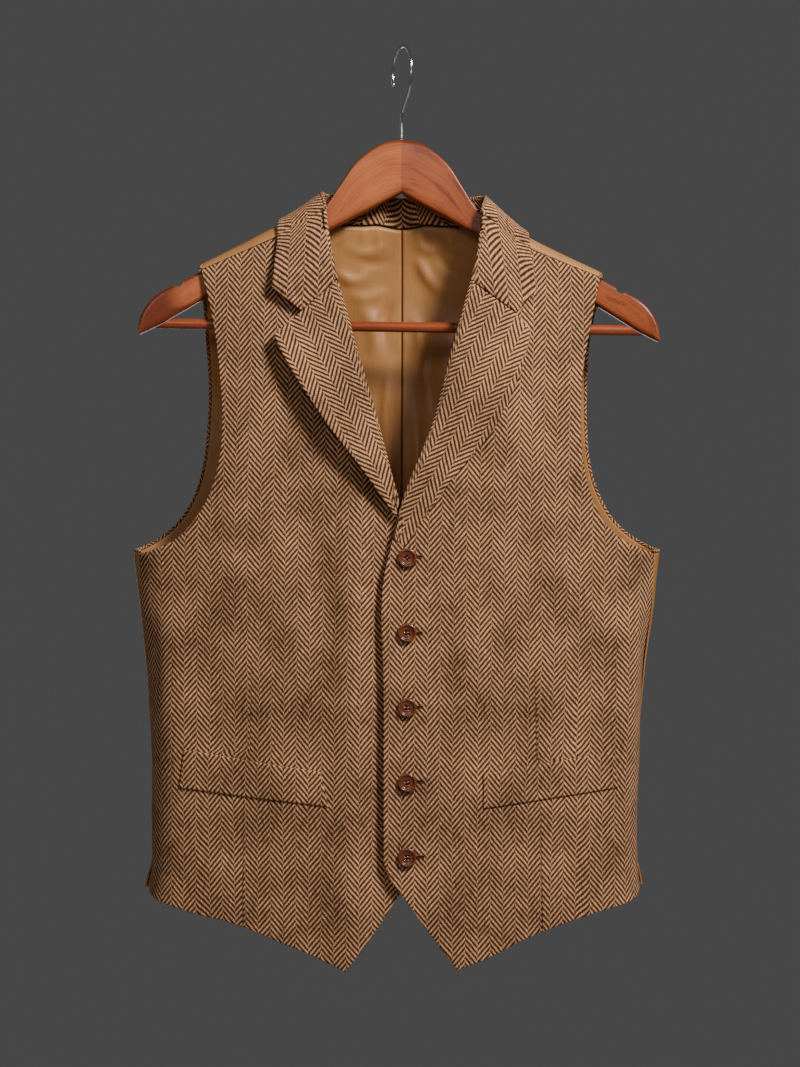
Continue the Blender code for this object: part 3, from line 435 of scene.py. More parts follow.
@dataclass
class PatternLines:
    """The lines that neighbouring pieces share: neck, shoulder and side seams."""

    form: BodyForm
    shoulder_tip = {Side.LEFT: 172.0, Side.RIGHT: 170.0}
    drop_at_neck: float = 20.0
    drop_at_tip: float = 11.2
    underarm_height: float = -438.5
    side_hem = {Side.LEFT: -728.5, Side.RIGHT: -725.5}
    ledge: float = 20.0
    stations = {
        Side.LEFT: [
            CollarStation(54.5, 82.4, 3.0, 109.7, 63.0, 59.0, 79.0),
            CollarStation(58.7, 58.6, 4.0, 108.2, 41.0, 66.5, 50.0),
            CollarStation(62.4, 35.2, 5.6, 107.3, 22.3, 74.0, 25.5),
            CollarStation(64.3, 13.1, 7.6, 107.0, 10.0, 79.0, 10.0),
            CollarStation(64.5, 0.0, 9.5, 105.0, -5.0, 79.5, -2.0),
        ],
        Side.RIGHT: [
            CollarStation(57.9, 79.5, 3.0, 115.8, 48.6, 62.5, 75.8),
            CollarStation(62.2, 60.3, 4.2, 112.8, 33.0, 70.0, 47.0),
            CollarStation(65.2, 37.4, 6.0, 110.5, 21.2, 76.5, 25.2),
            CollarStation(66.8, 15.0, 8.4, 109.0, 10.0, 80.5, 10.0),
            CollarStation(66.0, 0.0, 10.5, 106.0, -5.0, 81.5, -2.0),
        ],
    }
    back_stations = [
        CollarStation(59.0, -6.5, 10.0, 94.0, -24.0, 73.0, -16.0),
        CollarStation(45.0, -12.5, 9.5, 70.0, -43.0, 54.0, -30.0),
        CollarStation(24.0, -21.0, 8.5, 37.0, -64.0, 28.0, -45.0),
    ]
    centre_station = CollarStation(0.0, -32.5, 8.0, 0.0, -82.0, 0.0, -58.0)

    def collar_at(self, side: Side, places: Any) -> list[Array]:
        """The collar's seam, roll and outer edge at places counted along its stations."""
        last = self.back_stations[-1]
        beyond = last._replace(roll=-last.roll, edge=-last.edge, seam=-last.seam)
        rows = self.stations[side] + self.back_stations + [self.centre_station, beyond]
        count = np.arange(len(rows))
        lines = []
        for names in (("seam", "seam_front"), ("roll", "roll_front", "rise"),
                      ("edge", "edge_front")):
            values = [smooth_value(count, [getattr(row, name) for row in rows], places)
                      for name in names]
            lines.append(np.stack(values, axis=-1))
        return lines

    def collar_corners(self, side: Side) -> tuple[float, float, float]:
        """Where the shoulder seam, the ledge and the centre back lie along the stations."""
        centre = len(self.stations[side]) + len(self.back_stations)
        fine = np.linspace(0, centre, 3000)
        front = self.collar_at(side, fine)[0][:, 1]
        corner = fine[np.argmin(np.abs(front - self.drop_at_neck))]
        ledge = fine[np.argmin(np.abs(front + self.ledge))]
        return float(corner), float(ledge), float(centre)

    def shoulder_seam(self, side: Side, fractions: Array) -> tuple[Array, Array]:
        """The shoulder seam from neck to tip: how far across, and in front of the ridge."""
        corner = self.collar_at(side, [self.collar_corners(side)[0]])[0][0, 0]
        across = corner + (self.shoulder_tip[side] - corner) * fractions
        return across, self.drop_at_neck + (self.drop_at_tip - self.drop_at_neck) * fractions

    def side_seam(self, side: Side, fractions: Array) -> Array:
        """The side seam from the hem up to the underarm."""
        height = self.side_hem[side] + (self.underarm_height
                                        - self.side_hem[side]) * fractions
        lead = self.form.value("seam_lead", height)
        return np.stack([self.form.front_quarter(height) - lead, height], axis=1)


# ------------------------------------------------------------------ creases and sheets


@dataclass(frozen=True)
class Crease:
    """A soft fold in the cloth, laid along a few points of the pattern.

    A positive depth stands the cloth out as a ridge, and a negative one sinks it.
    """

    path: tuple[Pair, ...]
    width: float
    depth: float
    peak: float = 0.5

    def height_at(self, places: Array) -> Array:
        """How far this crease moves the cloth at places of the pattern."""
        line = smooth_curve(self.path, 24)
        start, step = line[:-1], np.diff(line, axis=0)
        length = np.linalg.norm(step, axis=1)
        away = places[:, None] - start[None]
        share = np.clip((away * step).sum(-1) / length ** 2, 0, 1)
        distance = np.linalg.norm(away - share[..., None] * step, axis=-1)
        nearest = distance.argmin(axis=1)
        row = np.arange(len(places))
        along = (nearest + share[row, nearest]) / len(step)
        fade = np.where(along < self.peak, along / self.peak,
                        (1 - along) / (1 - self.peak))
        return (self.depth * np.sin(fade * math.pi / 2) ** 1.3
                * np.exp(-(distance[row, nearest] / self.width) ** 2))


@dataclass(frozen=True)
class Dart:
    """A dart sewn in the cloth: a line from its bottom to its top, and what it takes in."""

    bottom: Pair
    top: Pair
    intake: float
    depth: float = 1.0

    def measure(self, places: Array) -> Array:
        """Signed distance from the line, intake and depth at each place."""
        start, end = np.array(self.bottom), np.array(self.top)
        line = end - start
        length = np.linalg.norm(line)
        share = (places - start) @ line / length ** 2
        across = ((places - start) @ np.array([line[1], -line[0]])) / length
        within = ease(-0.02, 0.0, share) * (1 - ease(1.0, 1.02, share))
        near = 1 - ease(30, 40, np.abs(across))
        return np.stack([across, self.intake * np.clip(1 - share, 0, 1) * within * near,
                         self.depth * within * (1 - 0.5 * np.clip(share, 0, 1))], axis=-1)


@dataclass(frozen=True)
class CentreSeam:
    """The seam down the centre back, where the cloth's two halves meet."""

    centre: Callable[[Any], Array]
    depth: float = 0.9

    def measure(self, places: Array) -> Array:
        """Distance from the seam, no intake, and the seam's depth at each place."""
        away = self.centre(places[:, 1]) - places[:, 0]
        return np.stack([away, 0 * away, self.depth + 0 * away], axis=-1)


@dataclass
class Drape:
    """How a piece of cloth departs from the body form: its creases and its unevenness."""

    creases: Sequence[Crease] = ()
    uneven: float = 0.45
    seed: int = 0
    fullness: float = 1.9
    calm: Callable[[Array], Array] | None = None

    def at(self, places: Array) -> Array:
        """How far out the cloth is moved at places of the pattern."""
        found = np.zeros(len(places))
        for crease in self.creases:
            found += self.fullness * crease.height_at(places)
        for size, share in ((46.0, 1.0), (19.0, 0.35)):
            grain = [noise.noise(Vector((a / size, b / size, 7.3 * self.seed + size)))
                     for a, b in places]
            found += self.uneven * share * np.array(grain)
        return found * (self.calm(places) if self.calm else 1.0)


@dataclass
class Sheet:
    """Cloth over joined grids of pattern coordinates."""

    form: BodyForm
    side: Side
    thickness: float = CLOTH
    facing: Facing = Facing.OUTWARDS
    drape: Drape = field(default_factory=Drape)
    darts: Sequence[Any] = ()
    edge_fall: float = 0.55
    edge_width: float = 1.6
    places: Array = field(default_factory=lambda: np.zeros((0, 2)))
    faces: list[tuple[int, ...]] = field(default_factory=list)
    _last: Array | None = None

    def add(self, grid: Array, at_end: bool = False) -> None:
        """Add a grid whose first row is the last row of the grid before it.

        Args:
            grid: rows and columns of pattern coordinates.
            at_end: whether the shared part is the end of the last row, not its start.
        """
        rows, columns = grid.shape[:2]
        if self._last is None:
            index = np.arange(rows * columns).reshape(rows, columns)
            self.places = grid.reshape(-1, 2)
        else:
            shared = self._last[-columns:] if at_end else self._last[:columns]
            more = len(self.places) + np.arange((rows - 1) * columns)
            index = np.concatenate([shared[None], more.reshape(rows - 1, columns)])
            self.places = np.concatenate([self.places, grid[1:].reshape(-1, 2)])
        self.faces += grid_faces(index)
        self._last = index[-1]

    def edge_distance(self) -> Array:
        """How far each vertex is from the nearest edge of the cloth, up to a few mm."""
        tally: dict[tuple[int, int], int] = {}
        for face in self.faces:
            for a, b in zip(face, face[1:] + face[:1]):
                key = (min(a, b), max(a, b))
                tally[key] = tally.get(key, 0) + 1
        rim = np.array([key for key, count in tally.items() if count == 1])
        start = self.places[rim[:, 0]]
        step = self.places[rim[:, 1]] - start
        length = np.maximum((step ** 2).sum(-1), 1e-9)
        found = np.zeros(len(self.places))
        for first in range(0, len(self.places), 3000):
            away = self.places[first:first + 3000, None] - start[None]
            share = np.clip((away * step).sum(-1) / length, 0, 1)
            distance = ((away - share[..., None] * step) ** 2).sum(-1)
            found[first:first + 3000] = np.sqrt(distance.min(axis=1))
        return found

    def build(self, name: str, out: Callable[[Array], Array],
              weave: Callable[[Array], Array] | None = None) -> bpy.types.Object:
        """Make the cloth's mesh.

        Args:
            name: the piece's name.
            out: how far out the shown face lies, at each place of the pattern.
            weave: where each place lies on the woven cloth, if not where the pattern says.

        Returns:
            The piece.
        """
        distance = self.edge_distance()
        fall = 1 - np.clip(distance / self.edge_width, 0, 1)
        drop = self.edge_fall * (1 - np.sqrt(1 - fall ** 2))
        base = out(self.places) + self.drape.at(self.places)
        shown = self.form.point(self.side, self.places, base - self.facing * drop)
        beyond = self.form.point(self.side, self.places, base + self.facing)
        woven = weave(self.places) if weave else self.places
        piece = sheet_object(name, shown, self.faces, woven, beyond - shown,
                             self.thickness)
        if self.darts:
            self._mark_darts(piece)
        return piece

    def _mark_darts(self, piece: bpy.types.Object) -> None:
        """Write the nearest dart's measures on each vertex, for the weave to read."""
        measures = np.stack([dart.measure(self.places) for dart in self.darts])
        chosen = np.abs(np.where(measures[..., 2] > 0.01, measures[..., 0], 999)).argmin(0)
        mark(piece, "dart", measures[chosen, np.arange(len(self.places))])

    def cut(self) -> tuple[Pair, float]:
        """The flat size of the cut in metres, and its area in square metres."""
        corners = self.places[np.array(self.faces)]
        x, y = corners[..., 0], corners[..., 1]
        area = 0.5 * np.abs((x * np.roll(y, -1, axis=1) - y * np.roll(x, -1, axis=1)).sum(1))
        size = np.ptp(self.places, axis=0) * MM
        return (float(size[0]), float(size[1])), float(area.sum() * MM * MM)


def grid_faces(index: Array) -> list[tuple[int, ...]]:
    """The faces of a grid of vertex numbers."""
    a, b = index[:-1, :-1].ravel(), index[:-1, 1:].ravel()
    c, d = index[1:, 1:].ravel(), index[1:, :-1].ravel()
    return [tuple(row) for row in np.stack([a, b, c, d], axis=1).tolist()]


def mesh_object(name: str, points: Array, faces: Sequence[Sequence[int]],
                woven: Array | None = None) -> bpy.types.Object:
    """Make a smooth mesh object from points in millimetres.

    Args:
        name: the object's name.
        points: vertices, in millimetres.
        faces: vertex numbers.
        woven: pattern coordinates in millimetres for its UV map.

    Returns:
        The object, linked to the scene.
    """
    mesh = bpy.data.meshes.new(name)
    mesh.from_pydata((np.asarray(points) * MM).tolist(), [], faces)
    if woven is not None:
        corner = np.zeros(len(mesh.loops), np.int32)
        mesh.loops.foreach_get("vertex_index", corner)
        layer = mesh.uv_layers.new(name="weave")
        layer.data.foreach_set("uv", (woven[corner] * MM).astype(np.float32).ravel())
    mesh.shade_smooth()
    mesh.update()
    piece = bpy.data.objects.new(name, mesh)
    bpy.context.scene.collection.objects.link(piece)
    return piece


def mark(piece: bpy.types.Object, label: str, vectors: Array) -> None:
    """Write three numbers on each vertex, for a finish to read."""
    layer = piece.data.attributes.new(label, "FLOAT_VECTOR", "POINT")
    layer.data.foreach_set("vector", vectors.astype(np.float32).ravel())


def sheet_object(name: str, points: Array, faces: Sequence[Sequence[int]], woven: Array,
                 towards: Array, thickness: float) -> bpy.types.Object:
    """Make a sheet whose shown face looks towards a direction, with its wall behind it.

    Args:
        name: the object's name.
        points: vertices of the shown face.
        faces: vertex numbers.
        woven: pattern coordinates for its UV map.
        towards: a direction at each vertex that the shown face looks in.
        thickness: the cloth's wall.

    Returns:
        The object.
    """
    corners = points[np.array(faces)]
    normal = np.cross(corners[:, 2] - corners[:, 0], corners[:, 3] - corners[:, 1])
    wanted = towards[np.array(faces)].mean(axis=1)
    if (normal * wanted).sum() < 0:
        faces = [tuple(face[::-1]) for face in faces]
    piece = mesh_object(name, points, faces, woven)
    wall = piece.modifiers.new("Wall", "SOLIDIFY")
    wall.thickness = thickness * MM
    wall.offset = -1
    wall.use_even_offset = False
    return piece


def dress(piece: bpy.types.Object, finish: bpy.types.Material, slot: Slot,
          *nodes: str) -> bpy.types.Object:
    """Give a piece its finish, and say what it stands for.

    Args:
        piece: the piece.
        finish: its material.
        slot: the record's slot that the finish belongs to; not used.
        nodes: the frame's nodes that it replaces.

    Returns:
        The piece.
    """
    piece.data.materials.clear()
    piece.data.materials.append(finish)
    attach(piece, ROOT)
    if nodes:
        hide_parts(*nodes)
    log.info("%s stands for %s", piece.name, ", ".join(nodes) or "no node")
    return piece


# ------------------------------------------------------------------ finishes


class Value:
    """A number on a shader socket, with Python's operators as Math nodes."""

    def __init__(self, sketch: "Sketch", socket: Any) -> None:
        """Wrap an output socket, or a plain number."""
        self.sketch = sketch
        self.socket = socket

    def math(self, operation: str, *others: Any) -> "Value":
        """Add a Math node that takes this value first."""
        inputs = {0: self}
        inputs.update({place + 1: other for place, other in enumerate(others)})
        node = self.sketch.add("ShaderNodeMath", {"operation": operation}, inputs)
        return Value(self.sketch, node.outputs[0])

    def __add__(self, other: Any) -> "Value":
        """This plus other."""
        return self.math("ADD", other)

    __radd__ = __add__

    def __mul__(self, other: Any) -> "Value":
        """This times other."""
        return self.math("MULTIPLY", other)

    __rmul__ = __mul__

    def __sub__(self, other: Any) -> "Value":
        """This minus other."""
        return self.math("SUBTRACT", other)

    def __rsub__(self, other: Any) -> "Value":
        """Other minus this."""
        return self.math("MULTIPLY_ADD", -1.0, other)

    def __truediv__(self, other: Any) -> "Value":
        """This over other."""
        return self.math("DIVIDE", other)

    def __pow__(self, other: Any) -> "Value":
        """This to a power."""
        return self.math("POWER", other)

    def __gt__(self, other: Any) -> "Value":
        """1 where this is more than other."""
        return self.math("GREATER_THAN", other)

    def floor(self) -> "Value":
        """The whole part."""
        return self.math("FLOOR")

    def fract(self) -> "Value":
        """The part after the point."""
        return self.math("FRACT")

    def size(self) -> "Value":
        """The value without its sign."""
        return self.math("ABSOLUTE")

    def sine(self) -> "Value":
        """The sine."""
        return self.math("SINE")

    def fold(self, width: float) -> "Value":
        """A zigzag from 0 to a width and back."""
        return self.math("PINGPONG", width)

    def step(self, low: float, high: float) -> "Value":
        """A smooth step from 0 at low to 1 at high."""
        node = self.sketch.add("ShaderNodeMapRange", {"interpolation_type": "SMOOTHSTEP"},
                               {"Value": self, "From Min": low, "From Max": high})
        return Value(self.sketch, node.outputs["Result"])


class Sketch:
    """A material being drawn: its shader, and one method that adds any other node."""

    def __init__(self, name: str, **constants: Any) -> None:
        """Start a material whose shader has these constants on its own sockets."""
        self.material = bpy.data.materials.new(name)
        self.material.use_nodes = True
        self.tree = self.material.node_tree
        self.shader = self.tree.nodes["Principled BSDF"]
        for socket, value in constants.items():
            self.shader.inputs[socket.replace("_", " ")].default_value = value

    def add(self, kind: str, settings: dict[str, Any] | None = None,
            inputs: dict[Any, Any] | None = None) -> bpy.types.Node:
        """Add a node.

        Args:
            kind: the node's type.
            settings: its own settings, set before its sockets.
            inputs: values or links, by socket name or number.

        Returns:
            The node.
        """
        node = self.tree.nodes.new(kind)
        for name, value in (settings or {}).items():
            setattr(node, name, value)
        for name, value in (inputs or {}).items():
            value = value.socket if isinstance(value, Value) else value
            if isinstance(value, bpy.types.NodeSocket):
                self.tree.links.new(value, node.inputs[name])
            else:
                node.inputs[name].default_value = value
        return node

    def split(self, vector: Any) -> tuple[Value, Value, Value]:
        """The three parts of a vector."""
        node = self.add("ShaderNodeSeparateXYZ", inputs={0: vector})
        return tuple(Value(self, output) for output in node.outputs)

    def join(self, x: Any, y: Any, z: Any = 0.0) -> Any:
        """A vector of three values."""
        return self.add("ShaderNodeCombineXYZ", inputs={0: x, 1: y, 2: z}).outputs[0]

    def weave(self) -> tuple[Value, Value]:
        """Where a place lies on the woven cloth, in millimetres."""
        u, v, _ = self.split(self.add("ShaderNodeTexCoord").outputs["UV"])
        return u * (1 / MM), v * (1 / MM)

    def attribute(self, name: str) -> tuple[Value, Value, Value]:
        """The three numbers of one of the piece's own attributes."""
        node = self.add("ShaderNodeAttribute", {"attribute_name": name})
        return self.split(node.outputs["Vector"])

    def noise(self, x: Any, y: Any, z: Any = 0.0, detail: float = 2.0,
              rough: float = 0.5) -> Value:
        """Soft noise from 0 to 1 at a place given in units of its grain."""
        node = self.add("ShaderNodeTexNoise", {"noise_dimensions": "3D"},
                        {"Vector": self.join(x, y, z), "Scale": 1.0, "Detail": detail,
                         "Roughness": rough})
        return Value(self, node.outputs[0])

    def mix(self, share: Any, first: Any, second: Any) -> Any:
        """Mix two colours."""
        first, second = [(*c, 1.0) if isinstance(c, tuple) else c for c in (first, second)]
        node = self.add("ShaderNodeMix", {"data_type": "RGBA"},
                        {0: share, 6: first, 7: second})
        return node.outputs[2]

    def shade(self, colour: Any, amount: Value) -> Any:
        """Make a colour lighter or darker."""
        return self.add("ShaderNodeVectorMath", {"operation": "SCALE"},
                        {0: colour, "Scale": amount}).outputs[0]

    def finish(self, colour: Any, rough: Any = None, height: Value | None = None,
               depth: float = 0.0002, strength: float = 1.0) -> bpy.types.Material:
        """Join what varies to the shader.

        Args:
            colour: the base colour.
            rough: the roughness, where it varies.
            height: a relief from 0 to 1.
            depth: how deep the relief is, in metres.
            strength: how strongly it shows.

        Returns:
            The material.
        """
        self.tree.links.new(colour, self.shader.inputs["Base Color"])
        if rough is not None:
            self.tree.links.new(rough.socket, self.shader.inputs["Roughness"])
        if height is not None:
            bump = self.add("ShaderNodeBump", None,
                            {"Height": height, "Distance": depth, "Strength": strength})
            self.tree.links.new(bump.outputs[0], self.shader.inputs["Normal"])
        return self.material


@dataclass(frozen=True)
class Tweed:
    """Herringbone tweed: light warp over dark weft, its stripes broken where they turn."""

    light: Colour = (0.74, 0.425, 0.215)
    dark: Colour = (0.072, 0.026, 0.0125)
    column: float = 10.8
    yarns: int = 10
    stripe: float = 5.1
    light_share: float = 0.43

    def material(self) -> bpy.types.Material:
        """Draw the cloth."""
        s = Sketch("herringbone_tweed", Roughness=0.95, Sheen_Weight=0.04,
                   Sheen_Roughness=0.6, Specular_IOR_Level=0.2)
        u, v = s.weave()
        away, intake, sewn = s.attribute("dart")
        u = u + intake * (away > 0.0)
        wander = s.noise(u * 0.16, v * 0.16, 3.0) - 0.5
        fuzz = s.noise(u * 1.3, v * 1.3, 11.0, 3.0, 0.7)
        v = v + wander * 1.1
        u = u + (s.noise(u * 0.05, v * 0.05, 9.0) - 0.5) * 1.2
        turned = (u / self.column).floor()
        odd = (turned * 0.5).fract() * 2.0
        place = u.fold(self.column) * (self.yarns / self.column)
        part = place.fract()
        stair = place.floor() + part.step(0.25, 0.75)
        phase = v / self.stripe + stair * 0.25 + odd * 0.5 + (fuzz - 0.5) * 0.45
        wave = (phase.fract() - 0.5).size() * 2.0
        light = 1.0 - wave.step(self.light_share - 0.2, self.light_share + 0.2)
        groove = ((part - 0.5).size() * 2.0) ** 3.0
        weft = ((v / (self.stripe / 4)).fract() - 0.5).size() * 2.0
        yarn = s.noise((u * (self.yarns / self.column)).floor() * 3.7, v * 0.12, 5.0)
        thread = s.noise(turned * 5.1, stair * 2.3, (v / self.stripe).floor() * 1.7)
        mottle = s.noise(u * 0.022, v * 0.022, 1.0, 3.0)
        grain = s.noise(u * 2.9, v * 2.9, 17.0, 2.0, 0.8)
        tone = ((yarn - 0.5) * 1.4 + (thread - 0.5) * 1.4 + (mottle - 0.5) * 1.5
                + (fuzz - 0.5) * 1.7 + (grain - 0.5) * 1.6 + 1.0).math("MAXIMUM", 0.25)
        # Painted shade: the colour darkens in the grooves beside each light yarn and between
        # weft yarns.
        tone = tone * (1.0 - groove * light * 0.34) * (1.0 - weft * (1.0 - light) * 0.25)
        line = (1.0 - away.size().step(0.25, 1.1)) * sewn
        warm = s.mix(s.noise(u * 0.3, v * 0.3, 21.0), self.light,
                     (self.light[0] * 1.03, self.light[1] * 0.88, self.light[2] * 0.8))
        colour = s.shade(s.mix(light, self.dark, warm), tone * (1.0 - line * 0.55))
        height = (light * (1.0 - groove * 0.6) * 0.75 + (1.0 - weft) * (1.0 - light) * 0.25
                  + fuzz * 0.35 - line * 1.6)
        return s.finish(colour, None, height, 0.00035, 0.75)


@dataclass(frozen=True)
class Satin:
    """Bronze lining satin, with fine streaks along the warp."""

    light: Colour = (0.61, 0.292, 0.094)
    deep: Colour = (0.30, 0.120, 0.034)

    def material(self) -> bpy.types.Material:
        """Draw the cloth."""
        s = Sketch("bronze_satin", Specular_IOR_Level=0.5)
        u, v = s.weave()
        streak = s.noise(u * 2.2, v * 0.05, 2.0, 3.0)
        cross = s.noise(u * 0.08, v * 3.0, 4.0, 2.0)
        cloud = s.noise(u * 0.03, v * 0.02, 8.0, 3.0)
        share = (streak - 0.5) * 0.7 + (cloud - 0.5) * 0.8 + (cross - 0.5) * 0.4 + 0.5
        rough = streak * 0.10 + cloud * 0.08 + 0.34
        away, _, sewn = s.attribute("dart")
        line = (1.0 - away.size().step(0.2, 1.0)) * sewn
        colour = s.shade(s.mix(share, self.deep, self.light), 1.0 - line * 0.8)
        return s.finish(colour, rough, streak * 0.4 + cross * 0.3 - line * 3.0, 0.0001, 0.6)


@dataclass(frozen=True)
class StainedWood:
    """Hardwood stained red-brown under a satin lacquer, with painted shade along its corners.
    """

    name: str
    pale: Colour
    deep: Colour
    # The darkest colour: painted shade on corners and undersides, dark patches and a darker
    # tip.
    rim: Colour = (0.13, 0.021, 0.006)
    # How strongly dark patches show; on the right arm they help paint its shade.
    dark_patches: float = 0.0

    def material(self) -> bpy.types.Material:
        """Draw the wood."""
        s = Sketch(self.name, Coat_Weight=0.18, Coat_Roughness=0.14,
                   Specular_IOR_Level=0.35)
        u, v = s.weave()
        # The first number paints shade on rounded corners or undersides; the second darkens a
        # tip.
        corner, tip, _ = s.attribute("stain")
        wave = s.noise(u * 0.012, v * 0.09, 4.0, 3.0)
        grain = s.noise(u * 0.035, v * 0.9 + wave * 3.0, 1.0, 4.0, 0.6)
        pore = s.noise(u * 0.30, v * 2.2, 6.0, 4.0, 0.75).step(0.46, 0.66)
        cloud = s.noise(u * 0.02, v * 0.05, 9.0, 2.0)
        share = (grain - 0.5) * 1.5 + (cloud - 0.5) * 1.3 + 0.5
        stain = corner * 0.85 + tip
        colour = s.mix(share, self.deep, self.pale)
        # Dark patches, strong on the right arm, where they help paint its shade.
        dark_patches = s.noise(u * 0.03, v * 0.16, 14.0, 3.0).step(0.48, 0.72) * self.dark_patches
        # Painted shade, and the darker tip, mix the colour towards the rim colour.
        colour = s.mix(stain.math("MINIMUM", 0.92), s.mix(dark_patches, colour, self.rim), self.rim)
        colour = s.shade(colour, 1.12 - pore * 0.34)
        rough = grain * 0.12 + 0.27
        return s.finish(colour, rough, grain * 0.5 - pore * 0.5, 0.00008, 0.5)


@dataclass(frozen=True)
class BrightWire:
    """Polished plated wire, with a faint drawn grain."""

    def material(self) -> bpy.types.Material:
        """Draw the metal."""
        s = Sketch("bright_wire", Metallic=1.0)
        x, y, z = s.split(s.add("ShaderNodeTexCoord").outputs["Object"])
        cloud = s.noise(x * 160.0, y * 160.0, z * 160.0, 2.0)
        fine = s.noise(x * 2600.0, y * 2600.0, z * 500.0, 2.0)
        colour = s.mix(cloud, (0.70, 0.68, 0.66), (0.86, 0.85, 0.84))
        return s.finish(colour, cloud * 0.08 + fine * 0.06 + 0.07, fine, 0.00002, 0.3)


@dataclass(frozen=True)
class PolishedHorn:
    """Polished reddish-brown horn with soft streaks."""

    light: Colour = (0.25, 0.070, 0.028)
    dark: Colour = (0.078, 0.020, 0.009)

    def material(self) -> bpy.types.Material:
        """Draw the horn."""
        s = Sketch("polished_horn", Coat_Weight=0.35, Coat_Roughness=0.12,
                   Specular_IOR_Level=0.55)
        x, y, z = s.split(s.add("ShaderNodeTexCoord").outputs["Object"])
        cloud = s.noise(x * 240.0, y * 240.0, z * 150.0, 3.0)
        streak = s.noise(x * 900.0 + cloud * 2.0, y * 400.0, z * 260.0, 2.0)
        share = cloud * 0.9 + streak * 0.5 - 0.22
        colour = s.mix(share, self.dark, self.light)
        return s.finish(colour, streak * 0.1 + 0.2, streak, 0.00003, 0.3)


@dataclass(frozen=True)
class Thread:
    """Twisted sewing thread."""

    name: str
    colour: Colour

    def material(self) -> bpy.types.Material:
        """Draw the thread."""
        s = Sketch(self.name, Roughness=0.9, Specular_IOR_Level=0.1)
        x, y, z = s.split(s.add("ShaderNodeTexCoord").outputs["Object"])
        twist = ((x * 900.0 + z * 2300.0 + y * 500.0).sine() + 1.0) * 0.5
        cloud = s.noise(x * 800.0, y * 800.0, z * 800.0)
        pale = tuple(min(part * 1.7, 1.0) for part in self.colour)
        return s.finish(s.mix(twist * 0.6 + cloud * 0.4, self.colour, pale), None, twist,
                        0.00006, 0.6)


@dataclass(frozen=True)
class PaleFloor:
    """A plain pale studio floor."""

    colour: Colour = (0.60, 0.58, 0.57)

    def material(self) -> bpy.types.Material:
        """Draw the floor."""
        s = Sketch("pale_floor")
        x, y, _ = s.split(s.add("ShaderNodeTexCoord").outputs["Object"])
        cloud = s.noise(x * 2.0, y * 2.0)
        other = tuple(part * 0.97 for part in self.colour)
        return s.finish(s.mix(cloud, self.colour, other), cloud * 0.1 + 0.6)


@dataclass
class Wardrobe:
    """Every finish of the part, each made once."""

    tweed: bpy.types.Material = field(default_factory=lambda: Tweed().material())
    satin: bpy.types.Material = field(default_factory=lambda: Satin().material())
    # Painted light and shade: a paler copy for the left arm, a darker, patchier one for the
    # right.
    wood: dict[Side, bpy.types.Material] = field(default_factory=lambda: {
        Side.LEFT: StainedWood("pale_stained_wood_with_painted_light", (0.60, 0.178, 0.058), (0.30, 0.064, 0.016),
                               dark_patches=0.1).material(),
        Side.RIGHT: StainedWood("orange_stained_wood_with_painted_shade", (0.46, 0.110, 0.026),
                                (0.23, 0.042, 0.009), dark_patches=0.75).material()})
    bar_wood: bpy.types.Material = field(default_factory=lambda: StainedWood(
        "red_stained_wood", (0.40, 0.085, 0.026), (0.24, 0.042, 0.012)).material())
    wire: bpy.types.Material = field(default_factory=lambda: BrightWire().material())
    horn: bpy.types.Material = field(default_factory=lambda: PolishedHorn().material())
    # The dark thread also makes the beads that paint the shade inside each buttonhole's cut.
    dark_thread_and_slit_shade: bpy.types.Material = field(default_factory=lambda: Thread(
        "dark_thread_and_slit_shade", (0.012, 0.006, 0.004)).material())
    grey_thread: bpy.types.Material = field(default_factory=lambda: Thread(
        "grey_brown_thread", (0.10, 0.055, 0.038)).material())


# ------------------------------------------------------------------ the cloth pieces


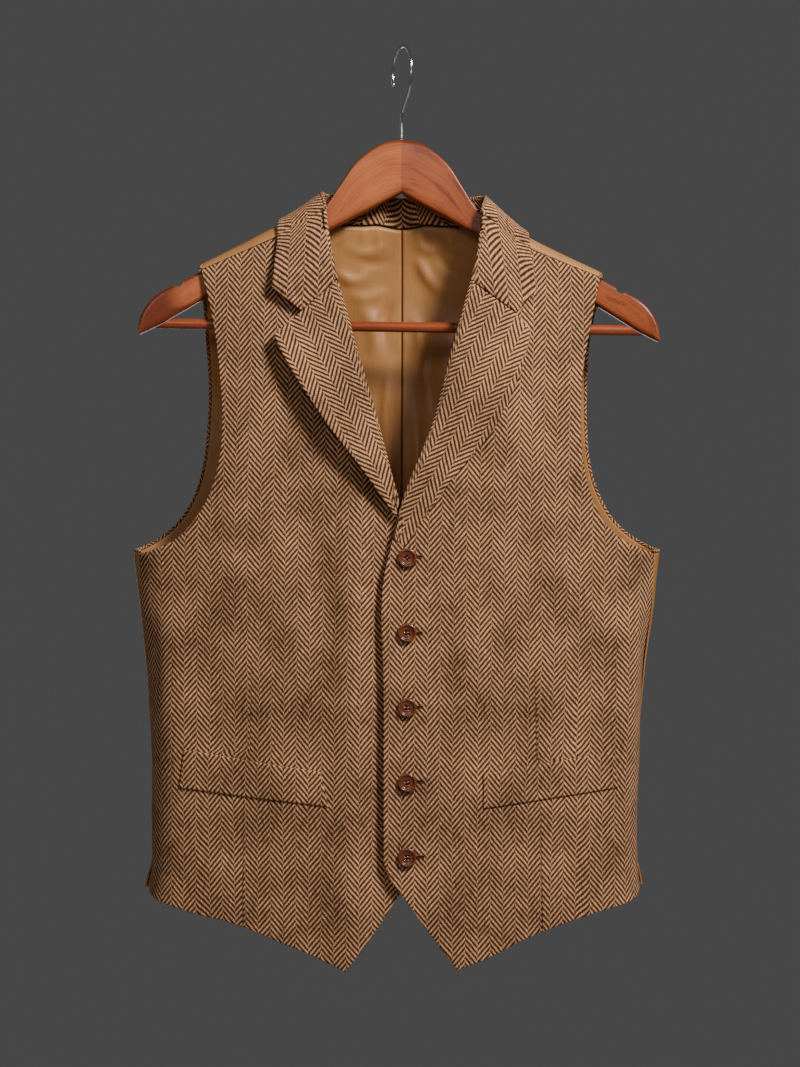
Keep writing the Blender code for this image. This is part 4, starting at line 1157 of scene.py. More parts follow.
@dataclass
class Front:
    """A front, cut in one from hem to shoulder, with its darts and its folds."""

    lines: PatternLines
    side: Side
    step: float = 2.6
    roll_inset: float = 2.0
    underlap: float = 7.0
    underarm_top: float = -408.0
    hem_point = {Side.LEFT: (48.0, -792.5), Side.RIGHT: (47.0, -791.5)}
    cutaway = {Side.LEFT: [(22.9, -760.0), (3.0, -729.5), (-8.0, -713.0)],
               Side.RIGHT: [(22.9, -760.0), (0.0, -728.2), (-9.3, -715.5)]}
    cutaway_top = {Side.LEFT: (-13.0, -701.0), Side.RIGHT: (-15.7, -701.0)}
    lap = {Side.LEFT: [(-13.0, -560.0), (-12.0, -440.0), (-7.0, -415.0)],
           Side.RIGHT: [(-15.7, -560.0), (-14.4, -452.0), (-8.0, -425.0)]}
    break_point = {Side.LEFT: (1.0, -396.0), Side.RIGHT: (-1.0, -396.0)}
    roll_line = {Side.LEFT: [(20.4, -324.6), (34.8, -274.5), (43.4, -243.7)],
                 Side.RIGHT: [(26.3, -324.6), (42.5, -260.8), (50.2, -233.5)]}
    hem = {Side.LEFT: [(75, -780.0), (105, -768.0), (140, -754.2), (177, -745.2),
                       (200, -739.0)],
           Side.RIGHT: [(75, -780.8), (105, -766.0), (140, -752.8), (177, -741.5),
                        (200, -734.5)]}
    armhole = {Side.LEFT: [(210.5, -434), (192.5, -425), (178.0, -410), (165.0, -388),
                           (156.6, -360), (153.6, -325), (155.4, -290), (160.0, -250)],
               Side.RIGHT: [(205.5, -434), (187.0, -425), (172.5, -410), (161.5, -388),
                            (154.5, -360), (152.5, -325), (153.8, -290), (160.2, -250)]}
    creases = {
        Side.LEFT: [
            Crease(((100, -322), (84, -400), (62, -480), (44, -548)), 17, -2.3, 0.35),
            Crease(((118, -262), (131, -340), (140, -430), (135, -512)), 15, 1.9, 0.55),
            Crease(((52, -420), (38, -480), (34, -560)), 13, 1.3, 0.4),
            Crease(((150, -455), (168, -540), (162, -640)), 19, -1.6, 0.45),
            Crease(((92, -560), (104, -640), (98, -730)), 22, 1.3, 0.5),
            Crease(((178, -470), (190, -560), (196, -660)), 17, 1.7, 0.35),
            Crease(((40, -640), (66, -700), (78, -765)), 18, -1.1, 0.5),
            Crease(((128, -690), (146, -722), (150, -750)), 16, 1.1, 0.6),
            Crease(((160, -420), (128, -438), (104, -468)), 10, -0.9, 0.4),
            Crease(((205, -452), (216, -520), (214, -600)), 12, -1.3, 0.4),
            Crease(((120, -205), (124, -245), (118, -300)), 12, 0.8, 0.5),
        ],
        Side.RIGHT: [
            Crease(((88, -196), (92, -300), (86, -410), (92, -508)), 14, 1.7, 0.5),
            Crease(((120, -215), (128, -300), (132, -385)), 13, -1.5, 0.45),
            Crease(((152, -330), (158, -372), (170, -402)), 9, 1.3, 0.5),
            Crease(((103, -420), (118, -462), (124, -505)), 14, -1.6, 0.5),
            Crease(((160, -548), (170, -590), (166, -640)), 16, -1.5, 0.5),
            Crease(((54, -430), (62, -520), (58, -610), (64, -690)), 15, 1.0, 0.4),
            Crease(((30, -470), (42, -560), (36, -650)), 12, -0.9, 0.55),
            Crease(((190, -462), (200, -550), (196, -650)), 15, 1.8, 0.4),
            Crease(((92, -680), (104, -720), (96, -765)), 17, 1.2, 0.5),
            Crease(((140, -660), (150, -700), (146, -748)), 13, -1.0, 0.5),
            Crease(((215, -458), (223, -520), (219, -610)), 11, -1.2, 0.4),
            Crease(((64, -300), (70, -350), (54, -404)), 10, -0.8, 0.5),
        ],
    }
    darts = {
        Side.LEFT: [Dart((130, -764), (129, -650), 2.6, 0.9),
                    Dart((124, -606), (123, -508), 1.6, 0.35)],
        Side.RIGHT: [Dart((126, -765), (124, -650), 3.2, 1.0),
                     Dart((121, -614), (118, -536), 2.6, 1.0)],
    }

    def pulls(self) -> list[Crease]:
        """Short pulls that the fastened buttons put in the right front."""
        found = []
        for number, (reach, lift) in enumerate(((30, 0.7), (36, 0.9), (28, 0.65), (34, 0.85),
                                                (38, 0.9))):
            height = Buttons.top - number * Buttons.pitch
            found.append(Crease(((13, height + 1), (reach, height + 9 - number)), 3.6, lift,
                                0.35))
            found.append(Crease(((12, height - 6), (reach - 4, height - 16)), 5.0, -lift,
                                0.35))
            found.append(Crease(((-13, height - 5), (-6, height - 12)), 3.5, -0.4, 0.5))
        return found

    def drape(self) -> Drape:
        """The folds of this front."""
        creases = list(self.creases[self.side])
        if self.side == Side.RIGHT:
            creases += self.pulls()
        return Drape(creases, 0.7, 3 + self.side, calm=self.calm)

    def calm(self, places: Array) -> Array:
        """How freely the cloth folds: hardly at all by the lap, the ridge and the roll."""
        around, height = places[:, 0], places[:, 1]
        ridge = self.lines.form.ridge_pattern_height(self.side, around)
        free = ease(4, 60, ridge - height)
        if self.side == Side.LEFT:
            return free * ease(22, 48, around)
        return free * (0.45 + 0.55 * ease(0, 26, around))

    def out(self, places: Array) -> Array:
        """How far out the front lies: the left one goes in under the right one's edge."""
        around = places[:, 0]
        if self.side == Side.RIGHT:
            return 2.4 * (1 - ease(-16, 8, around)) * ease(-430, -455, places[:, 1])
        crest = 3.4 * np.exp(-((around - 40.0) / 16.0) ** 2) * ease(-400, -440, places[:, 1])
        return crest - self.underlap * (1 - ease(13.0, 36.0, around))

    def grids(self) -> tuple[Array, Array]:
        """The grid below the armhole, and the grid above it."""
        form, side = self.lines.form, self.side
        cutaway = smooth_curve([self.hem_point[side], *self.cutaway[side],
                                self.cutaway_top[side]], edge_fractions(114, self.step))
        lap = smooth_curve([self.cutaway_top[side], *self.lap[side],
                            self.break_point[side]], round(306 / self.step))
        inner = chain(form.front_pattern(side, cutaway), form.front_pattern(side, lap))
        roll = form.front_pattern(side, [self.break_point[side], *self.roll_line[side]])
        corner = self.lines.collar_corners(side)[0]
        neck_rows = np.r_[np.linspace(0, 0.94, 22), 0.965, 0.985, 0.995, 1.0]
        neck = self.lines.collar_at(side, neck_rows * corner)[0]
        neck_points = form.from_ridge(side, neck[:, 0], neck[:, 1])
        roll_rows = np.linspace(0, 1, round(172 / self.step) + 1)
        inner_up = chain(smooth_curve([*roll, neck_points[0]], roll_rows), neck_points)
        inner_up[:, 0] += self.roll_inset * ease(0, 40, inner_up[:, 1] - inner_up[0, 1]) \
            * (1 - ease(-12, 20, inner_up[:, 1] - neck_points[0, 1]))
        inner_up[0] = inner[-1]
        middle_share = edge_fractions(185, self.step)
        shoulder, drop = self.lines.shoulder_seam(side, middle_share)
        top = form.from_ridge(side, shoulder, drop + SEAM_GAP / 2)
        seam = self.lines.side_seam(side, spread_of(inner))
        seam[:, 0] -= SEAM_GAP / 2
        places = form.front_pattern(side, self.armhole[side])
        armhole = smooth_curve([seam[-1], *places, top[-1]], 900)
        cut = int(np.argmin(np.abs(armhole[:, 1] - self.underarm_top)))
        below, above = armhole[:cut + 1], armhole[cut:]
        length = np.linalg.norm(np.diff(above, axis=0), axis=1).sum()
        rows = np.r_[roll_rows * 6, 6 + neck_rows[1:] * 4]
        share = np.interp(rows, [0, 8, 9, 10], [0, 1 - 14 / length, 1 - 7 / length, 1])
        outer_up = resample(above, share)
        underarm = resample(below[::-1], edge_fractions(55, self.step))
        middle = resample(np.array([inner[-1], underarm[0]]), middle_share)
        hem = form.front_pattern(side, self.hem[side])
        across = spread_of(chain(middle, underarm))
        bottom = smooth_curve([inner[0], *hem, seam[0]], across)
        body_top = chain(middle, underarm)
        body_top[0], body_top[-1] = inner[-1], seam[-1]
        bottom[0], bottom[-1] = inner[0], seam[0]
        body = coons(bottom, body_top, inner, seam, across,
                     (spread_of(inner) + spread_of(seam)) / 2)
        inner_up[-1], outer_up[-1], outer_up[0] = top[0], top[-1], middle[-1]
        chest = coons(middle, top, inner_up, outer_up, middle_share,
                      (spread_of(inner_up) + spread_of(outer_up)) / 2)
        return body, chest

    def build(self, wardrobe: Wardrobe) -> bpy.types.Object:
        """Make and dress the front."""
        name = "front_" + self.side.word
        sheet = Sheet(self.lines.form, self.side, drape=self.drape(),
                      darts=self.darts[self.side])
        for grid in self.grids():
            sheet.add(grid)
        shift = np.array([WEAVE_SHIFT[self.side], 0.0])
        piece = sheet.build(name, self.out, lambda places: places + shift)
        dress(piece, wardrobe.tweed, Slot.TWEED, name)
        flat, area = sheet.cut()
        return piece


@dataclass
class Back:
    """Half of the satin back with its lining and the edging of its armhole."""

    lines: PatternLines
    side: Side
    step: float = 2.9
    lining_gap: float = 1.0
    hem_centre: float = -733.0
    vent_height: float = 34.0
    underarm_top: float = -408.0
    vent_flare = {Side.LEFT: 5.0, Side.RIGHT: 3.5}
    binding_width: float = 3.0
    binding_thick: float = 2.6
    armhole = {Side.LEFT: [(225.0, -434), (209.0, -425), (193.0, -410), (180.0, -388),
                           (172.0, -360), (168.0, -325), (167.0, -290), (169.0, -250)],
               Side.RIGHT: [(216.0, -434), (200.5, -425), (184.0, -410), (171.5, -388),
                            (163.0, -360), (160.0, -325), (160.0, -290), (162.0, -250)]}
    # Folds are placed by how far they are from the centre back, and how high.
    folds = {
        Side.LEFT: [
            (((8, -300), (20, -420), (14, -560)), 15, 1.8, 0.45),
            (((38, -240), (56, -340), (62, -470), (50, -600)), 17, -1.9, 0.5),
            (((80, -270), (98, -380), (104, -520)), 16, 1.6, 0.4),
            (((150, -420), (112, -450), (70, -462)), 11, -1.4, 0.4),
            (((140, -470), (152, -580), (146, -690)), 18, 1.8, 0.5),
            (((90, -560), (104, -640), (96, -720)), 16, -1.4, 0.5),
            (((30, -620), (44, -680), (40, -728)), 14, 1.3, 0.6),
            (((176, -480), (184, -560), (180, -650)), 13, -1.3, 0.4),
            (((120, -215), (112, -262), (120, -320)), 11, 1.1, 0.5),
        ],
        Side.RIGHT: [
            (((10, -340), (24, -440), (22, -590)), 14, -1.6, 0.4),
            (((46, -230), (52, -350), (72, -460), (76, -580)), 17, 1.9, 0.45),
            (((88, -300), (92, -400), (112, -500)), 15, -1.5, 0.5),
            (((146, -430), (104, -446), (62, -480)), 10, 1.2, 0.35),
            (((128, -500), (142, -610), (132, -700)), 17, 1.6, 0.5),
            (((160, -460), (172, -560), (168, -690)), 14, -1.5, 0.5),
            (((54, -600), (62, -670), (58, -726)), 15, -1.2, 0.5),
            (((96, -620), (104, -680), (102, -728)), 14, 1.2, 0.6),
            (((124, -210), (118, -270), (128, -330)), 11, -1.0, 0.5),
        ],
    }
    # Folds of the lining, as far into the body as their depth says.
    lining_folds = {
        Side.LEFT: [
            (((10, -166), (30, -175), (56, -168)), 4.2, -0.7, 0.4),
            (((6, -180), (24, -184), (42, -180)), 3.4, 0.55, 0.5),
            (((26, -192), (42, -199), (62, -190)), 4.6, -1.0, 0.6),
            (((12, -205), (30, -214), (54, -208)), 5.0, -0.8, 0.4),
            (((20, -155), (22, -164), (18, -173)), 2.2, -0.45, 0.3),
            (((34, -154), (35, -162), (40, -170)), 2.2, -0.4, 0.3),
            (((48, -154), (52, -162), (58, -170)), 2.4, -0.5, 0.3),
            (((40, -212), (24, -244), (30, -300)), 8, -1.2, 0.3),
            (((60, -214), (50, -262), (54, -330)), 7, 1.0, 0.4),
            (((8, -214), (17, -238), (13, -262)), 5, 0.9, 0.4),
            (((10, -262), (15, -330), (9, -420)), 5, -1.0, 0.3),
            (((34, -290), (26, -350), (24, -420)), 7, 0.9, 0.5),
            (((56, -300), (44, -360), (36, -430)), 9, -1.0, 0.5),
        ],
        Side.RIGHT: [
            (((8, -164), (24, -172), (36, -168)), 3.6, -0.6, 0.5),
            (((12, -176), (26, -200), (42, -214)), 4.8, -1.1, 0.35),
            (((30, -170), (40, -186), (56, -194)), 4.0, 0.7, 0.4),
            (((34, -157), (46, -170), (60, -176)), 4.0, -0.8, 0.5),
            (((14, -155), (16, -163), (22, -171)), 2.2, -0.45, 0.3),
            (((50, -154), (46, -162), (38, -168)), 2.4, -0.5, 0.3),
            (((8, -226), (16, -250), (12, -284)), 5, -1.0, 0.4),
            (((10, -300), (14, -350), (10, -420)), 5, -1.0, 0.5),
            (((52, -226), (40, -280), (44, -350)), 9, -1.3, 0.4),
            (((28, -232), (22, -274), (28, -330)), 7, 1.0, 0.4),
            (((22, -330), (30, -360), (24, -410)), 6, -1.0, 0.5),
        ],
    }

    def centre(self, height: Any) -> Array:
        """How far round the centre back is, on this side."""
        form = self.lines.form
        return (form.front_quarter(height) + form.back_quarter(height)
                + self.side * form.value("shift", height))

    def _laid(self, folds: Sequence[Any]) -> list[Crease]:
        """Turn folds placed from the centre back into creases of the pattern."""
        return [Crease(tuple((float(self.centre(height)) - away, height)
                             for away, height in path), width, depth, peak)
                for path, width, depth, peak in folds]

    def calm(self, places: Array) -> Array:
        """The back folds hardly at all close to the ridge, the seams and the collar."""
        form = self.lines.form
        ridge = form.ridge_pattern_height(self.side, 120.0)
        free = ease(22, 80, ridge - places[:, 1])
        return free * (0.3 + 0.7 * ease(0, 16, self.centre(places[:, 1]) - places[:, 0]))

    def drape(self) -> Drape:
        """The folds that the back and its lining share."""
        return Drape(self._laid(self.folds[self.side]), 0.7, 11 + self.side, calm=self.calm)

    def flare(self, places: Array) -> Array:
        """How far the hem's corner stands out where the side seam is left open."""
        top = self.lines.side_hem[self.side] + self.vent_height
        near = 1 - ease(0, 60, places[:, 0] - self.lines.form.front_quarter(places[:, 1]))
        opening = 1 - ease(self.lines.side_hem[self.side], top, places[:, 1])
        return self.vent_flare[self.side] * opening * near

    def grids(self) -> tuple[Array, Array, Array]:
        """The grids below the armhole, up to the ledge, and over the ridge."""
        form, side, lines = self.lines.form, self.side, self.lines
        corner, ledge_place, centre_place = lines.collar_corners(side)
        shoulder = edge_fractions(92, self.step)
        seam_across, drop = lines.shoulder_seam(side, shoulder)
        strap_top = form.over_ridge(side, seam_across, drop - SEAM_GAP / 2)
        neck = lines.collar_at(side, np.linspace(centre_place, ledge_place, 34))[0]
        neck_line = form.over_ridge(side, neck[:, 0], neck[:, 1])
        neck_line[0, 0] -= SEAM_GAP / 2
        ledge_across = neck[-1, 0] + (lines.shoulder_tip[side] - 1.0 - neck[-1, 0]) * shoulder
        ledge = form.over_ridge(side, ledge_across, -lines.ledge + 0.0 * shoulder)
        rows = edge_fractions(300, self.step)
        seam = lines.side_seam(side, rows)
        seam[:, 0] += SEAM_GAP / 2
        places = form.back_pattern(side, self.armhole[side])
        armhole = smooth_curve([seam[-1], *places, ledge[-1], strap_top[-1]], 1200)
        first = int(np.argmin(np.abs(armhole[:, 1] - self.underarm_top)))
        last = int(np.argmin(np.abs(armhole[:, 1] - ledge[-1, 1])))
        below, above, over = armhole[:first + 1], armhole[first:last + 1], armhole[last:]
        chest_rows = np.linspace(0, 1, round(235 / self.step) + 1)
        outer_up = resample(above, chest_rows)
        underarm = resample(below[::-1], edge_fractions(60, self.step))
        top = chain(neck_line, ledge)
        top[-1] = outer_up[-1]
        height = np.linspace(self.hem_centre, top[0, 1], 400)
        centre = np.stack([self.centre(height) - SEAM_GAP / 2, height], axis=1)
        cut = int(np.argmin(np.abs(centre[:, 1] - self.underarm_top)))
        inner, inner_up = resample(centre[:cut + 1], rows), resample(centre[cut:], chest_rows)
        top[0] = inner_up[-1]
        across = spread_of(top)
        middle = resample(np.array([inner[-1], underarm[0]]), across)
        outer_up[0] = middle[-1]
        body_top = chain(middle, underarm)
        body_top[0], body_top[-1] = inner[-1], seam[-1]
        body_across = spread_of(body_top)
        bottom = resample(np.array([inner[0], seam[0]]), body_across)
        body = coons(bottom, body_top, inner, seam, body_across, rows)
        chest = coons(middle, top, inner_up, outer_up, across, chest_rows)
        strap_rows = edge_fractions(42, 2.0)
        neck_up = lines.collar_at(side, ledge_place + (corner - ledge_place) * strap_rows)[0]
        strap_inner = form.over_ridge(side, neck_up[:, 0], neck_up[:, 1])
        strap_outer = resample(over, strap_rows)
        ledge = top[-len(shoulder):]
        strap_inner[0], strap_outer[0] = ledge[0], ledge[-1]
        strap_inner[-1], strap_outer[-1] = strap_top[0], strap_top[-1]
        strap = coons(ledge, strap_top, strap_inner, strap_outer, shoulder, strap_rows)
        return body, chest, strap

    def build(self, wardrobe: Wardrobe) -> None:
        """Make and dress the back, its lining and the armhole's edging."""
        body, chest, strap = self.grids()
        back = Sheet(self.lines.form, self.side, drape=self.drape())
        back.add(body)
        back.add(chest)
        back.add(strap, at_end=True)
        name = "back_" + self.side.word
        piece = dress(back.build(name, self.flare), wardrobe.satin, Slot.SATIN, name)
        flat, area = back.cut()

        depth = CLOTH + self.lining_gap + LINING
        shared = self.drape()
        own = Drape(self._laid(self.lining_folds[self.side]), 0.9, 23 + self.side, 3.0)
        lining = Sheet(self.lines.form, self.side, LINING, Facing.INWARDS, own,
                       [CentreSeam(self.centre)],
                       edge_fall=0.4)
        lining.add(body)
        lining.add(chest)
        name = "lining_" + self.side.word
        piece = lining.build(name, lambda places: (self.flare(places) - depth
                                                   + shared.at(places)))
        dress(piece, wardrobe.satin, Slot.SATIN, name)
        flat, area = lining.cut()
        self.bind(body, chest, strap, shared, wardrobe)

    def bind(self, body: Array, chest: Array, strap: Array, shared: Drape,
             wardrobe: Wardrobe) -> None:
        """Make the narrow edging just outside the back's armhole."""
        line = chain(body[-1, chest.shape[1] - 1:][::-1], chest[:, -1], strap[:, -1])
        length = np.linalg.norm(np.diff(line, axis=0), axis=1).sum()
        line = resample(line, edge_fractions(length, 1.6))
        along = np.gradient(line, axis=0)
        away = unit(np.stack([-along[:, 1], along[:, 0]], axis=1))
        under_arm = 1 - ease(0, 50, np.linalg.norm(line - line[0], axis=1))[:, None]
        near = line + away * (-0.5 + 0.9 * under_arm)
        turns = np.linspace(-math.pi, math.pi, 17)
        half = self.binding_thick / 2
        ribs = 0.12 * np.sin(np.arange(len(line)) * 1.9)[:, None]
        reach = self.binding_width * (0.5 - 0.5 * np.cos(turns))[None]
        places = near[:, None] + away[:, None] * (reach * (1 - 0.04 * ribs))[..., None]
        lift = -CLOTH / 2 + (half + ribs) * np.sin(turns)[None] * 0.98
        lift = lift + shared.at(near)[:, None]
        points = self.lines.form.point(self.side, places, lift)
        index = np.arange(points.shape[0] * 17).reshape(-1, 17)
        index[:, -1] = index[:, 0]
        faces = grid_faces(index) + [tuple(index[0, :-1].tolist())[::-1],
                                     tuple(index[-1, :-1].tolist())]
        distance = travelled(line)
        woven = np.stack([distance[:, None] + 0 * lift,
                          np.abs(turns)[None] * 2.0 + 0 * lift], axis=-1).reshape(-1, 2)
        name = "binding_" + self.side.word
        piece = mesh_object(name, points.reshape(-1, 3), faces, woven)
        tidy_solid(piece)
        dress(piece, wardrobe.tweed, Slot.TWEED, name)


def tidy_solid(piece: bpy.types.Object, merge: bool = True) -> None:
    """Turn all of a closed solid's faces outwards.

    Args:
        piece: the solid.
        merge: whether to drop its doubled and loose vertices first.
    """
    mesh = bmesh.new()
    mesh.from_mesh(piece.data)
    if merge:
        bmesh.ops.remove_doubles(mesh, verts=mesh.verts, dist=1e-6)
        loose = [vertex for vertex in mesh.verts if not vertex.link_faces]
        bmesh.ops.delete(mesh, geom=loose, context="VERTS")
    bmesh.ops.recalc_face_normals(mesh, faces=mesh.faces)
    mesh.to_mesh(piece.data)
    mesh.free()
    piece.data.shade_smooth()


def loft(name: str, rings: Array, woven: Array | None = None,
         stain: Array | None = None) -> bpy.types.Object:
    """Make a closed solid over rings of points, with a cap at each of its ends.

    Args:
        name: the piece's name.
        rings: points in millimetres, a row for each ring.
        woven: where each point lies on the material, for its UV map.
        stain: painted shade, and darkening towards a tip, at each point.

    Returns:
        The piece, with smooth shading.
    """
    rows, count = rings.shape[:2]
    index = np.arange(rows * count).reshape(rows, count)
    index = np.concatenate([index, index[:, :1]], axis=1)
    faces = grid_faces(index) + [tuple(index[0, :-1].tolist()),
                                 tuple(index[-1, :-1].tolist())[::-1]]
    piece = mesh_object(name, rings.reshape(-1, 3), faces,
                        None if woven is None else woven.reshape(-1, 2))
    if stain is not None:
        mark(piece, "stain", stain)
    tidy_solid(piece, merge=stain is None)
    return piece


@dataclass
class Collar:
    """Stand and fall of the collar in one strip, folded over at the roll."""

    lines: PatternLines
    fold_radius: float = 2.3
    fall_rise: float = 3.6
    seam_inset: float = 1.4
    edge_fall: float = 0.9
    end_lift: float = 7.0
    notch_inner = {Side.LEFT: (85.0, -232.8), Side.RIGHT: (96.9, -233.5)}

    def _rows(self) -> list[Array]:
        """Seam, roll and edge along the whole collar, from the left gorge to the right."""
        halves = []
        for side in Side:
            centre = self.lines.collar_corners(side)[2]
            places = np.r_[0, 0.03, 0.07, 0.13, np.linspace(0.2, centre, 86)]
            lines = [line.copy() for line in self.lines.collar_at(side, places)]
            for line in lines:
                line[:, 0] *= int(side)
            halves.append(lines if side == Side.LEFT else [line[::-1][1:] for line in lines])
        return [np.concatenate(pair) for pair in zip(*halves)]

    def _fall(self, roll: Array, edge: Array, fraction: Array) -> Array:
        """The fall's places, with each end shaped to its notch."""
        ends = []
        for side, row in ((Side.LEFT, 0), (Side.RIGHT, -1)):
            notch = self.notch_inner[side]
            front = self.lines.form.ridge_pattern_height(side, notch[0]) - notch[1]
            corner = np.array([side * notch[0], front])
            path = chain(smooth_curve([roll[row, :2], corner], 60),
                         smooth_curve([corner, edge[row]], 30))
            ends.append(resample(path, fraction))
        fall = roll[:, None, :2] * (1 - fraction)[:, None] + edge[:, None] * fraction[:, None]
        length = travelled(roll[:, :2])
        for end, away in ((0, length), (-1, length[-1] - length)):
            near = 1 - ease(0, 75, away)
            fall = fall + (ends[end] - fall[end])[None] * near[:, None, None]
        return fall

    def build(self, wardrobe: Wardrobe) -> bpy.types.Object:
        """Make and dress the collar."""
        form = self.lines.form
        seam, roll, edge = self._rows()
        fraction = edge_fractions(40, 1.5)
        fraction = fraction[(fraction == 0) | (fraction > 0.03)]
        fall = self._fall(roll, edge, fraction)
        rise = self.fall_rise + (roll[:, None, 2] - self.fall_rise) * (1 - fraction) ** 1.2
        length = travelled(roll[:, :2])
        width = np.linalg.norm(edge - roll[:, :2], axis=1)
        from_edge = np.minimum(width[:, None] * (1 - fraction), length[:, None])
        from_edge = np.minimum(from_edge, (length[-1] - length)[:, None])
        down = 1 - np.clip(from_edge / 1.9, 0, 1)
        swell = 0.35 * np.exp(-((from_edge - 3.2) / 2.0) ** 2)
        rise = rise - self.edge_fall * (1 - np.sqrt(1 - down ** 2)) + swell
        grain = [[noise.noise(Vector((a / 26, b / 18, 3.0))) for b in fraction * 40]
                 for a in length]
        rise = rise + 0.5 * np.array(grain) * np.sin(fraction * math.pi * 0.9)
        rise = rise + self.end_lift * (1 - ease(0, 55, length))[:, None] * fraction
        fall_points = form.ridge_point(fall[..., 0], fall[..., 1], rise)
        radius = self.fold_radius
        base = form.ridge_point(roll[:, 0], roll[:, 1], roll[:, 2] - radius)
        top = form.ridge_point(roll[:, 0], roll[:, 1], roll[:, 2])
        out = (top - base) / radius
        inward = np.cross(np.gradient(top, axis=0), out)
        inward *= np.sign((inward * (top - fall_points[:, 4])).sum(axis=1, keepdims=True))
        inward = unit(inward)
        middle = base - inward * radius
        along = np.gradient(seam, axis=0)
        across = unit(np.stack([along[:, 1], -along[:, 0]], axis=1))
        across *= np.sign((across * (roll[:, :2] - seam)).sum(axis=1, keepdims=True))
        seam = seam + across * self.seam_inset
        foot = form.ridge_point(seam[:, 0], seam[:, 1], -CLOTH + 0.0 * seam[:, 1])
        stand_top = middle - out * radius
        stand = [foot + (stand_top - foot) * share for share in np.linspace(0, 1, 12)[:-1]]
        turns = np.linspace(-math.pi / 2, math.pi / 2, 9)
        bend = [middle + inward * radius * math.cos(turn) + out * radius * math.sin(turn)
                for turn in turns]
        columns = stand + bend + [fall_points[:, k] for k in range(1, len(fraction))]
        points = np.stack(columns, axis=1)
        down_cloth = np.cumsum(np.linalg.norm(np.diff(points, axis=1), axis=2), axis=1)
        down_cloth = np.concatenate([np.zeros((len(points), 1)), down_cloth], axis=1)
        down_cloth -= down_cloth[:, len(stand) + 4][:, None]
        outward = unit(edge - roll[:, :2])
        moves = np.diff(roll[:, :2], axis=0)
        moves *= (np.linalg.norm(np.diff(top, axis=0), axis=1)
                  / np.linalg.norm(moves, axis=1))[:, None]
        line = np.concatenate([np.zeros((1, 2)), np.cumsum(moves, axis=0)])
        line -= line[int(np.argmin(np.abs(roll[:, 0])))] - [0.0, -40.0]
        woven = line[:, None] + outward[:, None] * down_cloth[..., None]
        lay = 1 - fraction[None, 1:, None]
        woven[:, -len(fraction) + 1:] = (fall[:, 1:] + (line - roll[:, :2])[:, None] * lay
                                         + outward[:, None] * lay * radius * 1.5)
        woven[..., 0] += np.where(woven[..., 0] > 0, -0.13, 0.03) * np.maximum(woven[..., 1], 0)
        fallen = form.ridge_height(woven[..., 0]) - form.ridge_height(0.0)
        woven[..., 1] = fallen * ease(-30, 40, woven[..., 1]) - woven[..., 1]
        towards = np.zeros_like(points)
        higher = form.ridge_point(fall[:, 1:, 0], fall[:, 1:, 1], rise[:, 1:] + 1)
        towards[:, -len(fraction) + 1:] = higher - fall_points[:, 1:]
        rows, cols = points.shape[:2]
        index = np.arange(rows * cols).reshape(rows, cols)
        piece = sheet_object("collar", points.reshape(-1, 3), grid_faces(index),
                             woven.reshape(-1, 2), towards.reshape(-1, 3), 1.7)
        dress(piece, wardrobe.tweed, Slot.TWEED, "collar")
        return piece


